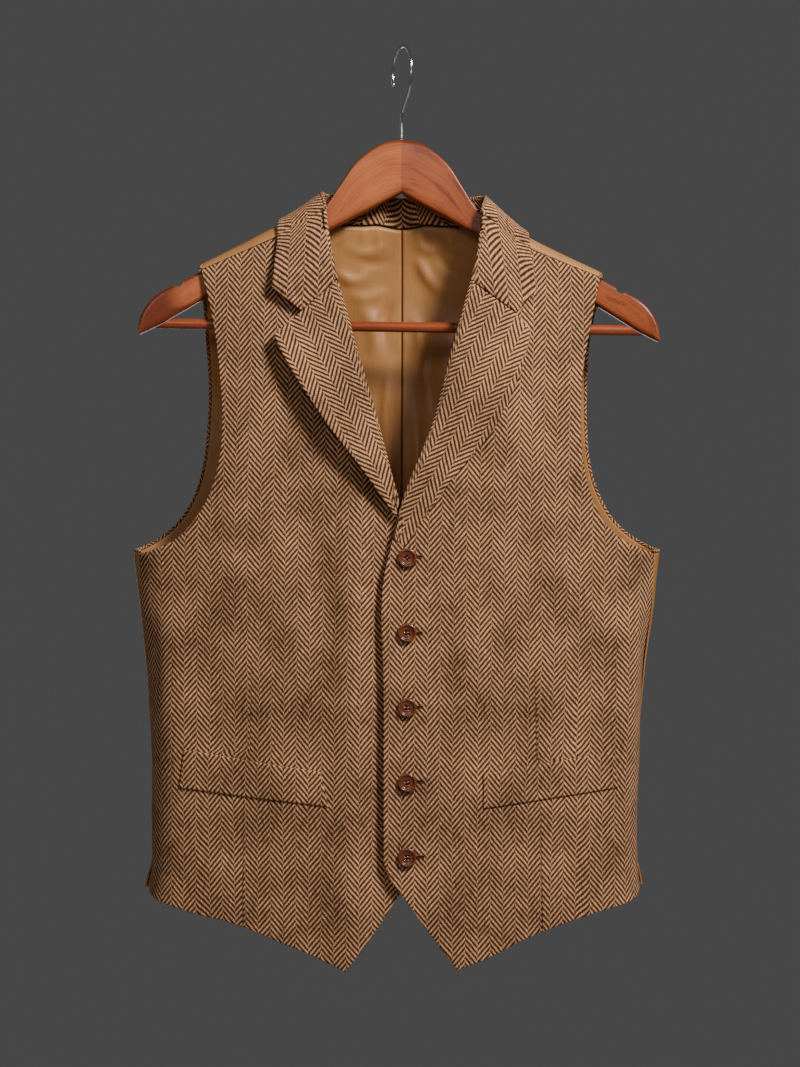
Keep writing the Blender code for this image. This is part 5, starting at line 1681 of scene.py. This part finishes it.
@dataclass
class Lapel:
    """A lapel, turned back onto its front along a soft roll."""

    lines: PatternLines
    front: Front
    side: Side
    rise: float = 2.6
    wall: float = 1.3
    roll_radius: float = 2.9
    gap: float = 0.35
    standoff = {Side.LEFT: 15.0, Side.RIGHT: 0.8}
    tip = {Side.LEFT: (107.6, -253.6), Side.RIGHT: (109.5, -248.2)}
    edge = {Side.LEFT: [(99.6, -270.5), (88.4, -289.5), (65.0, -325.2), (35.0, -365.0)],
            Side.RIGHT: [(106.0, -266.2), (98.3, -290.0), (82.2, -324.8), (39.0, -379.9)]}
    break_line = {Side.LEFT: [(2.4, -394.2)], Side.RIGHT: [(-7.6, -424.0), (-0.9, -396.6)]}
    foot = {Side.LEFT: (4.8, -407.0), Side.RIGHT: (2.0, -432.0)}
    gorge_inner = {Side.LEFT: (54.5, -204.4), Side.RIGHT: (57.9, -205.3)}
    grain_lean = {Side.LEFT: math.radians(27), Side.RIGHT: math.radians(27)}

    def _grid(self) -> tuple[Array, Array, Array]:
        """Places of the lapel as seen, with the fractions across and up."""
        up = edge_fractions(190, 2.2)
        fraction = edge_fractions(52, 1.8)
        roll = smooth_curve([*self.break_line[self.side], *self.front.roll_line[self.side],
                             self.gorge_inner[self.side]], up)
        edge = smooth_curve([self.foot[self.side], *self.edge[self.side][::-1],
                             self.tip[self.side]], up)
        notch = Collar.notch_inner[self.side]
        gorge = smooth_curve([self.gorge_inner[self.side], notch], 40)
        top = resample(chain(gorge, smooth_curve([notch, self.tip[self.side]], 30)), fraction)
        top[:, 1] -= self.gap
        bottom = smooth_curve([self.break_line[self.side][0], self.foot[self.side]], fraction)
        roll[-1], edge[-1] = top[0], top[-1]
        return coons(bottom, top, roll, edge, fraction, up), fraction, up

    def build(self, wardrobe: Wardrobe) -> bpy.types.Object:
        """Make and dress the lapel."""
        form = self.lines.form
        grid, fraction, up = self._grid()
        pattern = form.front_pattern(self.side, grid.reshape(-1, 2)).reshape(grid.shape)
        spring = fraction[None] ** 1.4 * np.sin(math.pi
                                                * np.clip(up * 0.7 + 0.08, 0, 1))[:, None]
        width = np.linalg.norm(grid[:, -1] - grid[:, 0], axis=1)[:, None]
        from_edge = np.minimum(width * (1 - fraction), (1 - up)[:, None] * 190)
        down = 1 - np.clip(from_edge / 1.9, 0, 1)
        swell = 0.4 * np.exp(-((from_edge - 3.4) / 2.2) ** 2)
        belly = 0.9 * np.sin(math.pi * np.clip(fraction * 1.1, 0, 1))[None] \
            * np.sin(math.pi * up)[:, None]
        grain = np.array([[noise.noise(Vector((a / 30, b / 30, 5.0 + self.side)))
                           for a, b in row] for row in pattern])
        out = (self.rise + self.standoff[self.side] * spring + swell + belly + grain * 0.5
               - 0.9 * (1 - np.sqrt(1 - down ** 2)))
        low = {Side.LEFT: 0.5, Side.RIGHT: 0.1}[self.side]
        out = low + (out - low) * ease(0.0, 0.26, up)[:, None]
        radius = (0.25 + (self.roll_radius - 0.25) * ease(0.02, 0.3, up))[:, None]
        into = pattern[:, 3] - pattern[:, 0]
        into /= np.maximum(np.linalg.norm(into, axis=1, keepdims=True), 1e-6)
        turns = np.linspace(-math.pi / 2, math.pi / 2, 12)[None, :-1]
        across = radius * (1 - np.cos(turns))
        lift = out[:, :1] - radius + radius * np.sin(turns)
        tail = radius + np.array([[6.0, 4.0, 2.0]])
        across = np.concatenate([tail, across], axis=1)
        lift = np.concatenate([np.repeat(lift[:, :1], 3, axis=1), lift], axis=1)
        rolled = pattern[:, :1] + into[:, None] * across[..., None]
        kept = (width * fraction)[:, :, None] > radius[:, :, None]
        moved = pattern[:, :1] + into[:, None] * np.maximum(width * fraction, radius)[..., None]
        flat_part = np.where(kept, pattern, moved)
        places = np.concatenate([rolled, flat_part], axis=1)
        outs = np.concatenate([lift, out], axis=1)
        shown = form.point(self.side, places, outs)
        towards = np.zeros_like(shown)
        towards[:, -len(fraction):] = (form.point(self.side, flat_part, out + 1.0)
                                       - shown[:, -len(fraction):])
        back = -np.cumsum(np.linalg.norm(np.diff(shown[:, :15], axis=1), axis=2)[:, ::-1],
                          axis=1)[:, ::-1]
        unrolled = pattern[:, :1] + into[:, None] * back[..., None]
        cloth = np.concatenate([unrolled, flat_part], axis=1)
        lean = self.grain_lean[self.side]
        sine, cosine = math.sin(lean), math.cos(lean)
        woven = np.stack([cloth[..., 0] * cosine - cloth[..., 1] * sine,
                          cloth[..., 0] * sine + cloth[..., 1] * cosine], axis=-1)
        rows, cols = shown.shape[:2]
        index = np.arange(rows * cols).reshape(rows, cols)
        name = "lapel_" + self.side.word
        piece = sheet_object(name, shown.reshape(-1, 3), grid_faces(index),
                             woven.reshape(-1, 2), towards.reshape(-1, 3), self.wall)
        dress(piece, wardrobe.tweed, Slot.TWEED, name)
        sheet = Sheet(form, self.side)
        sheet.add(cloth)
        flat, area = sheet.cut()
        return piece


@dataclass
class Welt:
    """A pocket welt, laid on its front and sewn down at its ends."""

    lines: PatternLines
    front: Front
    side: Side
    gap: float = 0.25
    thick: float = 1.5
    corners = {Side.LEFT: ((69.6, -623.4), (185.9, -605.7), (190.5, -638.3), (62.0, -653.1)),
               Side.RIGHT: ((68.7, -625.1), (181.0, -607.3), (184.5, -638.2),
                            (69.2, -654.8))}

    def build(self, wardrobe: Wardrobe) -> bpy.types.Object:
        """Make and dress the welt."""
        form = self.lines.form
        top_in, top_out, low_out, low_in = self.corners[self.side]
        across, up = edge_fractions(118, 2.4), edge_fractions(31, 2.2)
        grid = coons(smooth_curve([low_in, low_out], across),
                     smooth_curve([top_in, top_out], across),
                     smooth_curve([low_in, top_in], up), smooth_curve([low_out, top_out], up),
                     across, up)
        pattern = form.front_pattern(self.side, grid.reshape(-1, 2)).reshape(grid.shape)
        sheet = Sheet(form, self.side, self.thick, drape=self.front.drape(), edge_fall=1.0,
                      edge_width=1.7)
        sheet.add(pattern)

        def out(places: Array) -> Array:
            """How far out the welt's shown face lies: its top edge springs a little."""
            rise = (places[:, 1] - low_in[1]) / (top_in[1] - low_in[1])
            middle = np.sin(math.pi * np.clip((places[:, 0] - 66) / 118, 0, 1))
            return (self.front.out(places) + self.gap + self.thick
                    + 0.8 * middle * np.clip(rise, 0, 1) ** 2)

        name = "welt_" + self.side.word
        shift = np.array([0.0 if self.side == Side.LEFT else 2.2, 2.3])

        def woven(places: Array) -> Array:
            """The welt is cut to match its front, near enough."""
            return places + shift + np.array([WEAVE_SHIFT[self.side], 0.0])

        piece = sheet.build(name, out, woven)
        dress(piece, wardrobe.tweed, Slot.TWEED, name)
        flat, area = sheet.cut()
        return piece


# ------------------------------------------------------------------ buttons and stitches


class StitchMaker:
    """A Geometry Nodes tree that lays a thread's stitches along a line."""

    def __init__(self) -> None:
        """Draw the tree with its named inputs."""
        self.tree = bpy.data.node_groups.new("Stitches", "GeometryNodeTree")
        face = self.tree.interface
        face.new_socket("Line", in_out="INPUT", socket_type="NodeSocketGeometry")
        self.names: dict[str, str] = {}
        for name, kind in (("Pitch", "NodeSocketFloat"), ("Length", "NodeSocketFloat"),
                           ("Width", "NodeSocketFloat"), ("Turn", "NodeSocketFloat"),
                           ("Seed", "NodeSocketInt"), ("Thread", "NodeSocketMaterial")):
            socket = face.new_socket(name, in_out="INPUT", socket_type=kind)
            self.names[name] = socket.identifier
        face.new_socket("Stitches", in_out="OUTPUT", socket_type="NodeSocketGeometry")
        start = self._add("NodeGroupInput")
        curve = self._add("GeometryNodeMeshToCurve", {0: start.outputs["Line"]})
        spaced = self._add("GeometryNodeResampleCurve", {"Curve": curve.outputs[0],
                                                         "Length": start.outputs["Pitch"]},
                           mode="LENGTH")
        tangent = self._add("GeometryNodeInputTangent")
        aim = self._add("FunctionNodeAlignRotationToVector", {"Vector": tangent.outputs[0]},
                        axis="X")
        jitter = self._add("FunctionNodeRandomValue", {2: -0.16, 3: 0.16,
                                                       "Seed": start.outputs["Seed"]},
                           data_type="FLOAT")
        turn = self._add("ShaderNodeMath", {0: start.outputs["Turn"],
                                            1: jitter.outputs[1]}, operation="ADD")
        spin = self._add("ShaderNodeCombineXYZ", {"Y": turn.outputs[0]})
        local = self._add("FunctionNodeEulerToRotation", {0: spin.outputs[0]})
        both = self._add("FunctionNodeRotateRotation", {0: aim.outputs[0],
                                                        1: local.outputs[0]},
                         rotation_space="LOCAL")
        bead = self._add("GeometryNodeMeshUVSphere", {"Segments": 8, "Rings": 6,
                                                      "Radius": 0.5})
        size = self._add("ShaderNodeCombineXYZ", {"X": start.outputs["Length"],
                                                  "Y": start.outputs["Width"],
                                                  "Z": start.outputs["Width"]})
        laid = self._add("GeometryNodeInstanceOnPoints",
                         {"Points": spaced.outputs[0], "Instance": bead.outputs[0],
                          "Rotation": both.outputs[0], "Scale": size.outputs[0]})
        real = self._add("GeometryNodeRealizeInstances", {0: laid.outputs[0]})
        dyed = self._add("GeometryNodeSetMaterial", {"Geometry": real.outputs[0],
                                                     "Material": start.outputs["Thread"]})
        end = self._add("NodeGroupOutput")
        self.tree.links.new(dyed.outputs[0], end.inputs[0])

    def _add(self, kind: str, inputs: dict[Any, Any] | None = None,
             **settings: Any) -> bpy.types.Node:
        """Add a node with its settings, then its values or links."""
        node = self.tree.nodes.new(kind)
        for name, value in settings.items():
            setattr(node, name, value)
        for name, value in (inputs or {}).items():
            if isinstance(value, bpy.types.NodeSocket):
                self.tree.links.new(value, node.inputs[name])
            else:
                node.inputs[name].default_value = value
        return node

    def sew(self, name: str, paths: Sequence[Array], thread: bpy.types.Material,
            **sizes: Any) -> bpy.types.Object:
        """Lay stitches along lines.

        Args:
            name: the piece's name.
            paths: the lines, in millimetres.
            thread: the thread's material.
            sizes: Pitch, Length and Width in millimetres, Turn in radians, and Seed.

        Returns:
            The stitches as one plain mesh.
        """
        points = np.concatenate(paths) * MM
        edges, first = [], 0
        for path in paths:
            edges += [(first + k, first + k + 1) for k in range(len(path) - 1)]
            first += len(path)
        mesh = bpy.data.meshes.new(name)
        mesh.from_pydata(points.tolist(), edges, [])
        carrier = bpy.data.objects.new(name, mesh)
        bpy.context.scene.collection.objects.link(carrier)
        sewing = carrier.modifiers.new("Sewing", "NODES")
        sewing.node_group = self.tree
        for label, value in sizes.items():
            lengths = label in ("Pitch", "Length", "Width")
            sewing[self.names[label]] = value * MM if lengths else value
        sewing[self.names["Thread"]] = thread
        made = carrier.evaluated_get(bpy.context.evaluated_depsgraph_get())
        laid = bpy.data.meshes.new_from_object(made)
        carrier.modifiers.clear()
        carrier.data = laid
        laid.shade_smooth()
        return carrier


@dataclass
class Buttons:
    """Five turned horn buttons, the thread that holds them, and their buttonholes."""

    lines: PatternLines
    front: Front
    across: float = 4.3
    top: float = -441.6
    pitch: float = 63.5
    count: int = 5
    shank: float = 1.2
    thick: float = 3.2
    hole_offset: float = 1.38
    hole_radius: float = 0.74
    turns: tuple[float, ...] = (0.62, 0.06, 0.02, 0.22, 0.04)
    profile = [(7.95, -0.4), (8.1, 0.1), (8.05, 0.55), (7.8, 1.0), (7.4, 1.38),
               (6.95, 1.55), (6.5, 1.5), (6.1, 1.2), (5.75, 0.7), (5.45, 0.25), (5.0, 0.0),
               (4.2, -0.1), (3.2, -0.15)]
    under = [(7.6, -0.95), (6.6, -1.35), (4.5, -1.6), (0.0, -1.6)]

    def place(self, number: int) -> Array:
        """The middle of a button."""
        height = self.top - number * self.pitch
        pattern = self.lines.form.front_pattern(Side.RIGHT, [(self.across, height)])[0]
        return self.lines.form.point(Side.RIGHT, pattern, self.shank + self.thick / 2)

    def _button(self, number: int, wardrobe: Wardrobe) -> None:
        """Turn one button: a rim, a dish, four holes that go into it, and its back."""
        mesh = bmesh.new()
        steps = 48
        rings = []

        def ring(radius: float, height: float) -> list[Any]:
            """A ring of vertices round the button's middle."""
            return [mesh.verts.new((radius * math.cos(2 * math.pi * k / steps), -height,
                                    radius * math.sin(2 * math.pi * k / steps)))
                    for k in range(steps)]

        for radius, height in self.under[-2::-1] + self.profile:
            rings.append(ring(radius, height))
        for low, high in zip(rings, rings[1:]):
            for k in range(steps):
                mesh.faces.new((low[k], low[(k + 1) % steps], high[(k + 1) % steps], high[k]))
        mesh.faces.new(rings[0])
        self._dish(mesh, rings[-1])
        made = bpy.data.meshes.new("button")
        mesh.to_mesh(made)
        mesh.free()
        turn = self.turns[number]
        place = self.place(number)
        points = np.array([vertex.co for vertex in made.vertices])
        x, z = points[:, 0].copy(), points[:, 2].copy()
        points[:, 0] = x * math.cos(turn) - z * math.sin(turn)
        points[:, 2] = x * math.sin(turn) + z * math.cos(turn)
        points += place
        made.vertices.foreach_set("co", (points * MM).astype(np.float32).ravel())
        name = f"button_{number + 1}"
        piece = bpy.data.objects.new(name + "_turned", made)
        bpy.context.scene.collection.objects.link(piece)
        tidy_solid(piece)
        dress(piece, wardrobe.horn, Slot.HORN, name)

    def _dish(self, mesh: Any, rim: list[Any]) -> None:
        """Fill the dish between its rim and four round wells."""
        sides, level = 12, -self.profile[-1][1] + 0.02
        wells = []
        for i in (-1, 1):
            for k in (-1, 1):
                angle = [2 * math.pi * n / sides for n in range(sides)]
                centre = (i * self.hole_offset, k * self.hole_offset)
                spots = [(centre[0] + self.hole_radius * math.cos(a),
                          centre[1] + self.hole_radius * math.sin(a)) for a in angle]
                lip = [mesh.verts.new((a, level, b)) for a, b in spots]
                foot = [mesh.verts.new((a, level + 1.3, b)) for a, b in spots]
                for n in range(sides):
                    m = (n + 1) % sides
                    mesh.faces.new((lip[n], lip[m], foot[m], foot[n]))
                mesh.faces.new(foot)
                wells.append(lip)
        edges = []
        for loop in [rim, *wells]:
            for a, b in zip(loop, loop[1:] + loop[:1]):
                edges.append(mesh.edges.get((a, b)) or mesh.edges.new((a, b)))
        bmesh.ops.triangle_fill(mesh, use_beauty=True, edges=edges)
        bmesh.ops.remove_doubles(mesh, verts=mesh.verts, dist=1e-5)

    def build(self, wardrobe: Wardrobe, maker: StitchMaker) -> None:
        """Make the buttons, their threads and their buttonholes."""
        crossings, eyes, purls, slits = [], [], [], []
        form, drape = self.lines.form, self.front.drape()
        for number in range(self.count):
            self._button(number, wardrobe)
            place, turn = self.place(number), self.turns[number]
            lift = np.array([0.0, 0.05, 0.0])
            spots = {}
            for i in (-1, 1):
                for k in (-1, 1):
                    x, z = i * self.hole_offset, k * self.hole_offset
                    spots[i, k] = place + lift + np.array(
                        [x * math.cos(turn) - z * math.sin(turn), 0.0,
                         x * math.sin(turn) + z * math.cos(turn)])
            for k in (-1, 1):
                for side_step in (-0.22, 0.0, 0.22):
                    step = np.array([0.0, 0.0, side_step])
                    ends = np.array([spots[-1, k] + step, spots[1, k] + step])
                    down = np.array([0.0, 0.75, 0.0])
                    middle = ends.mean(axis=0) + np.array([0.0, -0.03, 0.0])
                    crossings.append(smooth_curve([ends[0] + down, ends[0], middle, ends[1],
                                                   ends[1] + down], 10))
            eyes.append(np.array([place + np.array([0.0, 1.5, 0.0]),
                                  place + np.array([0.0, 3.1, 0.0])]))
            height = self.top - number * self.pitch + (0.8, -0.4, 0.5, 0.9, 0.4)[number]
            angle = np.linspace(-2.3, 2.3, 22)
            start, end = 8.0, 15.6 + 0.5 * number
            eye = np.stack([end + 1.2 * np.cos(angle), height + 1.2 * np.sin(angle)], axis=1)
            line = np.concatenate([[(start, height - 0.9), (end - 2.6, height - 0.8)], eye,
                                   [(end - 2.6, height + 0.8), (start, height + 0.9)]])
            # The cut of each buttonhole is a row of near-black beads that paint the shade
            # inside it.
            cut = np.array([(start, height), (end + 0.6, height)])
            for store, path, out in ((purls, line, 0.18), (slits, cut, 0.02)):
                flat = form.front_pattern(Side.RIGHT, smooth_curve(path, 60))
                store.append(form.point(Side.RIGHT, flat, drape.at(flat) + out))
        sewn = maker.sew("button_threads", crossings, wardrobe.dark_thread_and_slit_shade, Pitch=0.26,
                         Length=0.5, Width=0.3, Turn=0.25, Seed=4)
        dress(sewn, wardrobe.dark_thread_and_slit_shade, Slot.HORN)
        shanks = maker.sew("thread_shanks", eyes, wardrobe.dark_thread_and_slit_shade, Pitch=0.3,
                           Length=0.9, Width=2.4, Turn=0.1, Seed=5)
        dress(shanks, wardrobe.dark_thread_and_slit_shade, Slot.HORN)
        holes = maker.sew("buttonhole_stitches", purls, wardrobe.grey_thread, Pitch=0.42,
                          Length=0.34, Width=0.95, Turn=0.2, Seed=6)
        dress(holes, wardrobe.grey_thread, Slot.TWEED)
        # Painted shade: near-black beads down each buttonhole's cut.
        slots = maker.sew("buttonhole_slit_shade", slits, wardrobe.dark_thread_and_slit_shade, Pitch=0.4,
                          Length=1.1, Width=0.6, Turn=0.0, Seed=7)
        dress(slots, wardrobe.dark_thread_and_slit_shade, Slot.TWEED)


# ------------------------------------------------------------------ the hanger


@dataclass
class Hanger:
    """The contoured wooden hanger: two arms, the trouser bar and the wire hook."""

    form: BodyForm
    thick: float = 12.0
    rounding: float = 3.4
    tilt: float = math.radians(0.87)
    crown: float = -80.0
    notch: tuple[float, float, float] = (191.0, -206.6, 5.6)
    bar_radius: float = 4.5
    bar_height: float = -243.6
    bar_forward: float = 19.0
    wire: float = 1.4
    loop: float = 21.4
    hook_turn: float = math.radians(22)
    # How far in from each arm's corners its painted shade reaches.
    rim_depth: float = 3.6
    tip_reach: Pair = (182.0, 204.0)
    # How much darker each arm grows towards its tip; only the left arm does.
    tip_darkening = {Side.LEFT: 0.95, Side.RIGHT: 0.0}
    upper = [(0, -80), (14, -82.2), (28, -90), (40, -100.5), (51.5, -117.5), (64.5, -137.5),
             (80, -152.5), (107, -168.5), (140, -184.0), (173, -199.5), (190, -208.8),
             (204.2, -216.3), (212.5, -223.1), (218.6, -231.5), (222.6, -241.0),
             (224.0, -250.6)]
    under = [(0, -126.5), (62.7, -161.0), (115, -191.0), (169, -222.3), (191.6, -236.2),
             (208, -246.1), (222.2, -253.4)]
    neck = [(20.3, -31.5), (14.6, -42.0), (6.2, -50.5), (1.2, -56.0), (0.0, -61.0),
            (0.0, -79.2)]

    def tilted(self, points: Array) -> Array:
        """Turn points with the hanger, which hangs a little out of level."""
        sine, cosine = math.sin(self.tilt), math.cos(self.tilt)
        x, z = points[..., 0], points[..., 2] - self.crown
        return np.stack([x * cosine + z * sine, points[..., 1],
                         self.crown - x * sine + z * cosine], axis=-1)

    def arm(self, side: Side, wardrobe: Wardrobe) -> None:
        """Loft one arm along its upper and lower edges, and cut its strap notch."""
        stations = 150
        upper, lower = smooth_curve(self.upper, stations), smooth_curve(self.under, stations)
        rings, woven, stain = [], [], []
        along = 0.0
        for number, (top, foot) in enumerate(zip(upper, lower)):
            rise = top - foot
            length = float(np.linalg.norm(rise))
            turns = np.linspace(0, math.pi / 2, 6)
            corner = min(self.rounding, length * 0.3)
            high = length - corner * (1 - np.cos(turns))
            deep = self.thick / 2 - self.rounding * (1 - np.sin(turns))
            middle = np.linspace(high[-1], length - high[-1], 9)[1:-1]
            heights = np.r_[high, middle, length - high[::-1]]
            depths = np.r_[deep, np.full(7, self.thick / 2), deep[::-1]]
            heights = np.r_[heights, heights[::-1]] / length
            depths = np.r_[depths, -depths[::-1]]
            if number:
                along += float(np.linalg.norm((top + foot - upper[number - 1]
                                               - lower[number - 1]) / 2))
            spots = foot + rise * heights[:, None]
            x = np.maximum(spots[:, 0], SEAM_GAP / 2)
            rings.append(np.stack([side * x, self.form.contour(x) - depths, spots[:, 1]], 1))
            wide = np.r_[0, np.cumsum(np.hypot(np.diff(heights * length), np.diff(depths)))]
            woven.append(np.stack([along + 0 * wide, wide], axis=1))
            # Painted shade along the arm's rounded corners, and darkening towards its tip.
            from_corner = np.minimum(heights, 1 - heights) * length
            rim = np.exp(-(from_corner / self.rim_depth) ** 2)
            tip = float(ease(*self.tip_reach, x.mean())) * self.tip_darkening[side]
            stain.append(np.stack([rim, 0 * rim + tip, 0 * rim], axis=1))
        name = "hanger_arm_" + side.word
        piece = loft(name, self.tilted(np.array(rings)), np.array(woven), np.array(stain))
        self._notch(piece, side)
        dress(piece, wardrobe.wood[side], Slot.WOOD, name)

    def _notch(self, piece: bpy.types.Object, side: Side) -> None:
        """Cut the rounded strap notch in an arm's upper edge."""
        x, z, radius = self.notch
        turns = np.linspace(0, 2 * math.pi, 49)[:-1]
        ring = np.stack([side * x + radius * np.cos(turns), 0 * turns,
                         z + radius * np.sin(turns)], axis=1)
        points = self.tilted(np.concatenate([ring - [0, 60, 0], ring + [0, 60, 0]]))
        index = np.stack([np.r_[0:48, 0], np.r_[48:96, 48]])
        faces = grid_faces(index) + [tuple(range(48))[::-1], tuple(range(48, 96))]
        cutter = mesh_object("notch_cutter", points, faces)
        tidy_solid(cutter)
        cutting = piece.modifiers.new("Notch", "BOOLEAN")
        cutting.operation = "DIFFERENCE"
        cutting.solver = "EXACT"
        cutting.object = cutter
        view = piece.evaluated_get(bpy.context.evaluated_depsgraph_get())
        made = bpy.data.meshes.new_from_object(view)
        piece.modifiers.clear()
        piece.data = made
        bpy.data.objects.remove(cutter, do_unlink=True)
        made.shade_smooth()
        made.set_sharp_from_angle(angle=math.radians(48))

    def bar(self, wardrobe: Wardrobe) -> None:
        """The trouser bar: a dowel whose ends are mitred to the arms' undersides."""
        under = smooth_curve(self.under, 200)
        turns = np.linspace(0, 2 * math.pi, 33)[:-1]
        stations = np.linspace(-1, 1, 81)
        rings, woven, stain = [], [], []
        for share in stations:
            height = self.bar_height + self.bar_radius * np.sin(turns)
            reach = np.interp(-(height + 0.9), -under[:, 1], under[:, 0])
            rings.append(np.stack([share * reach, self.bar_radius * np.cos(turns)
                                   - self.bar_forward, height], axis=1))
            woven.append(np.stack([share * 205 + 300 + 0 * turns,
                                   turns * self.bar_radius], axis=1))
            # Painted shade: the lower half of the bar is darkened towards the rim colour.
            stain.append(np.stack([0.18 * (turns > math.pi), 0 * turns, 0 * turns], axis=1))
        piece = loft("hanger_bar", self.tilted(np.array(rings)), np.array(woven),
                     np.array(stain))
        piece.data.set_sharp_from_angle(angle=math.radians(48))
        dress(piece, wardrobe.bar_wood, Slot.WOOD, "hanger_bar")

    def hook(self, wardrobe: Wardrobe) -> None:
        """The wire hook, swept along its loop and its neck, with a rounded end."""
        centre = self.wire - self.loop
        angles = np.linspace(math.radians(208), 0, 90)
        loop = np.stack([self.loop * np.cos(angles), centre + self.loop * np.sin(angles)],
                        axis=1)
        path = chain(loop, smooth_curve([loop[-1], *self.neck], 60))
        reach, height = path[:, 0], path[:, 1]
        turn_x, turn_y = math.sin(self.hook_turn), -math.cos(self.hook_turn)
        line = np.stack([reach * turn_x, reach * turn_y, height], axis=1)
        along = unit(np.gradient(line, axis=0))
        flat = np.array([turn_y, -turn_x, 0.0])
        other = np.cross(along, flat)
        turns = np.linspace(0, 2 * math.pi, 21)[:-1]
        length = travelled(line)
        size = np.sqrt(np.clip(1 - (1 - np.clip(length / self.wire, 0.02, 1)) ** 2, 0, 1))
        ring = (flat[None, None] * np.cos(turns)[None, :, None]
                + other[:, None] * np.sin(turns)[None, :, None])
        points = line[:, None] + ring * (self.wire * size)[:, None, None]
        piece = loft("hanger_hook", points)
        dress(piece, wardrobe.wire, Slot.STEEL, "hanger_hook")

    def build(self, wardrobe: Wardrobe) -> None:
        """Make and dress the hanger."""
        for side in Side:
            self.arm(side, wardrobe)
        self.bar(wardrobe)
        self.hook(wardrobe)


# ------------------------------------------------------------------ the studio


@dataclass
class Studio:
    """A pale floor, soft lights and the camera."""

    floor_height: float = -1.6
    floor_size: float = 2.2
    camera_place: tuple[float, float, float] = (-0.0017, -2.184, -0.421)
    lens: float = 85.0
    air: Colour = (0.80, 0.79, 0.79)
    air_strength: float = 0.09

    def light(self, name: str, place: tuple[float, float, float],
              aim: tuple[float, float, float], size: float, power: float,
              colour: Colour) -> None:
        """Add a soft square light.

        Args:
            name: the light's name.
            place: where it is, in metres.
            aim: the point that it faces.
            size: the length of its side.
            power: its power in watts.
            colour: its colour.
        """
        lamp = bpy.data.lights.new(name, "AREA")
        lamp.size = size
        lamp.energy = power
        lamp.color = colour
        item = bpy.data.objects.new(name, lamp)
        bpy.context.scene.collection.objects.link(item)
        item.location = place
        item.rotation_euler = (Vector(aim) - Vector(place)).to_track_quat(
            "-Z", "Y").to_euler()

    def build(self) -> None:
        """Make the studio."""
        half, level = self.floor_size, self.floor_height
        corners = np.array([(-half, -half, level), (half, -half, level),
                            (half, half, level), (-half, half, level)]) / MM
        floor = mesh_object("studio_floor", corners, [(0, 1, 2, 3)])
        floor.data.materials.append(PaleFloor().material())
        world = bpy.data.worlds.new("studio_air")
        world.use_nodes = True
        ground = world.node_tree.nodes["Background"]
        ground.inputs["Color"].default_value = (*self.air, 1.0)
        ground.inputs["Strength"].default_value = self.air_strength
        bpy.context.scene.world = world
        self.light("key", place=(0.80, -1.05, 0.62), aim=(0.0, 0.0, -0.32), size=0.36,
                   power=33.0, colour=(1.0, 0.965, 0.93))
        self.light("front", place=(-0.45, -2.4, 0.6), aim=(0.0, 0.0, -0.30), size=0.7,
                   power=8.0, colour=(1.0, 0.98, 0.96))
        self.light("back", place=(-0.4, 2.4, -0.30), aim=(0.0, 0.0, -0.4), size=1.4,
                   power=8.0, colour=(1.0, 0.98, 0.95))
        lens = bpy.data.cameras.new("camera")
        lens.lens = self.lens
        lens.sensor_width = 36.0
        lens.clip_end = 50.0
        camera = bpy.data.objects.new("camera", lens)
        camera.location = self.camera_place
        camera.rotation_euler = (math.pi / 2, 0.0, 0.0)
        bpy.context.scene.collection.objects.link(camera)
        bpy.context.scene.camera = camera


def main() -> None:
    """Build every piece around the frame."""
    logging.basicConfig(level=logging.INFO, format="%(name)s: %(message)s")
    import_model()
    wardrobe = Wardrobe()
    form = BodyForm()
    lines = PatternLines(form)
    maker = StitchMaker()
    Studio().build()
    for side in Side:
        front = Front(lines, side)
        front.build(wardrobe)
        Back(lines, side).build(wardrobe)
        Lapel(lines, front, side).build(wardrobe)
        Welt(lines, front, side).build(wardrobe)
    Collar(lines).build(wardrobe)
    Buttons(lines, Front(lines, Side.RIGHT)).build(wardrobe, maker)
    Hanger(form).build(wardrobe)


if __name__ == "__main__":
    main()
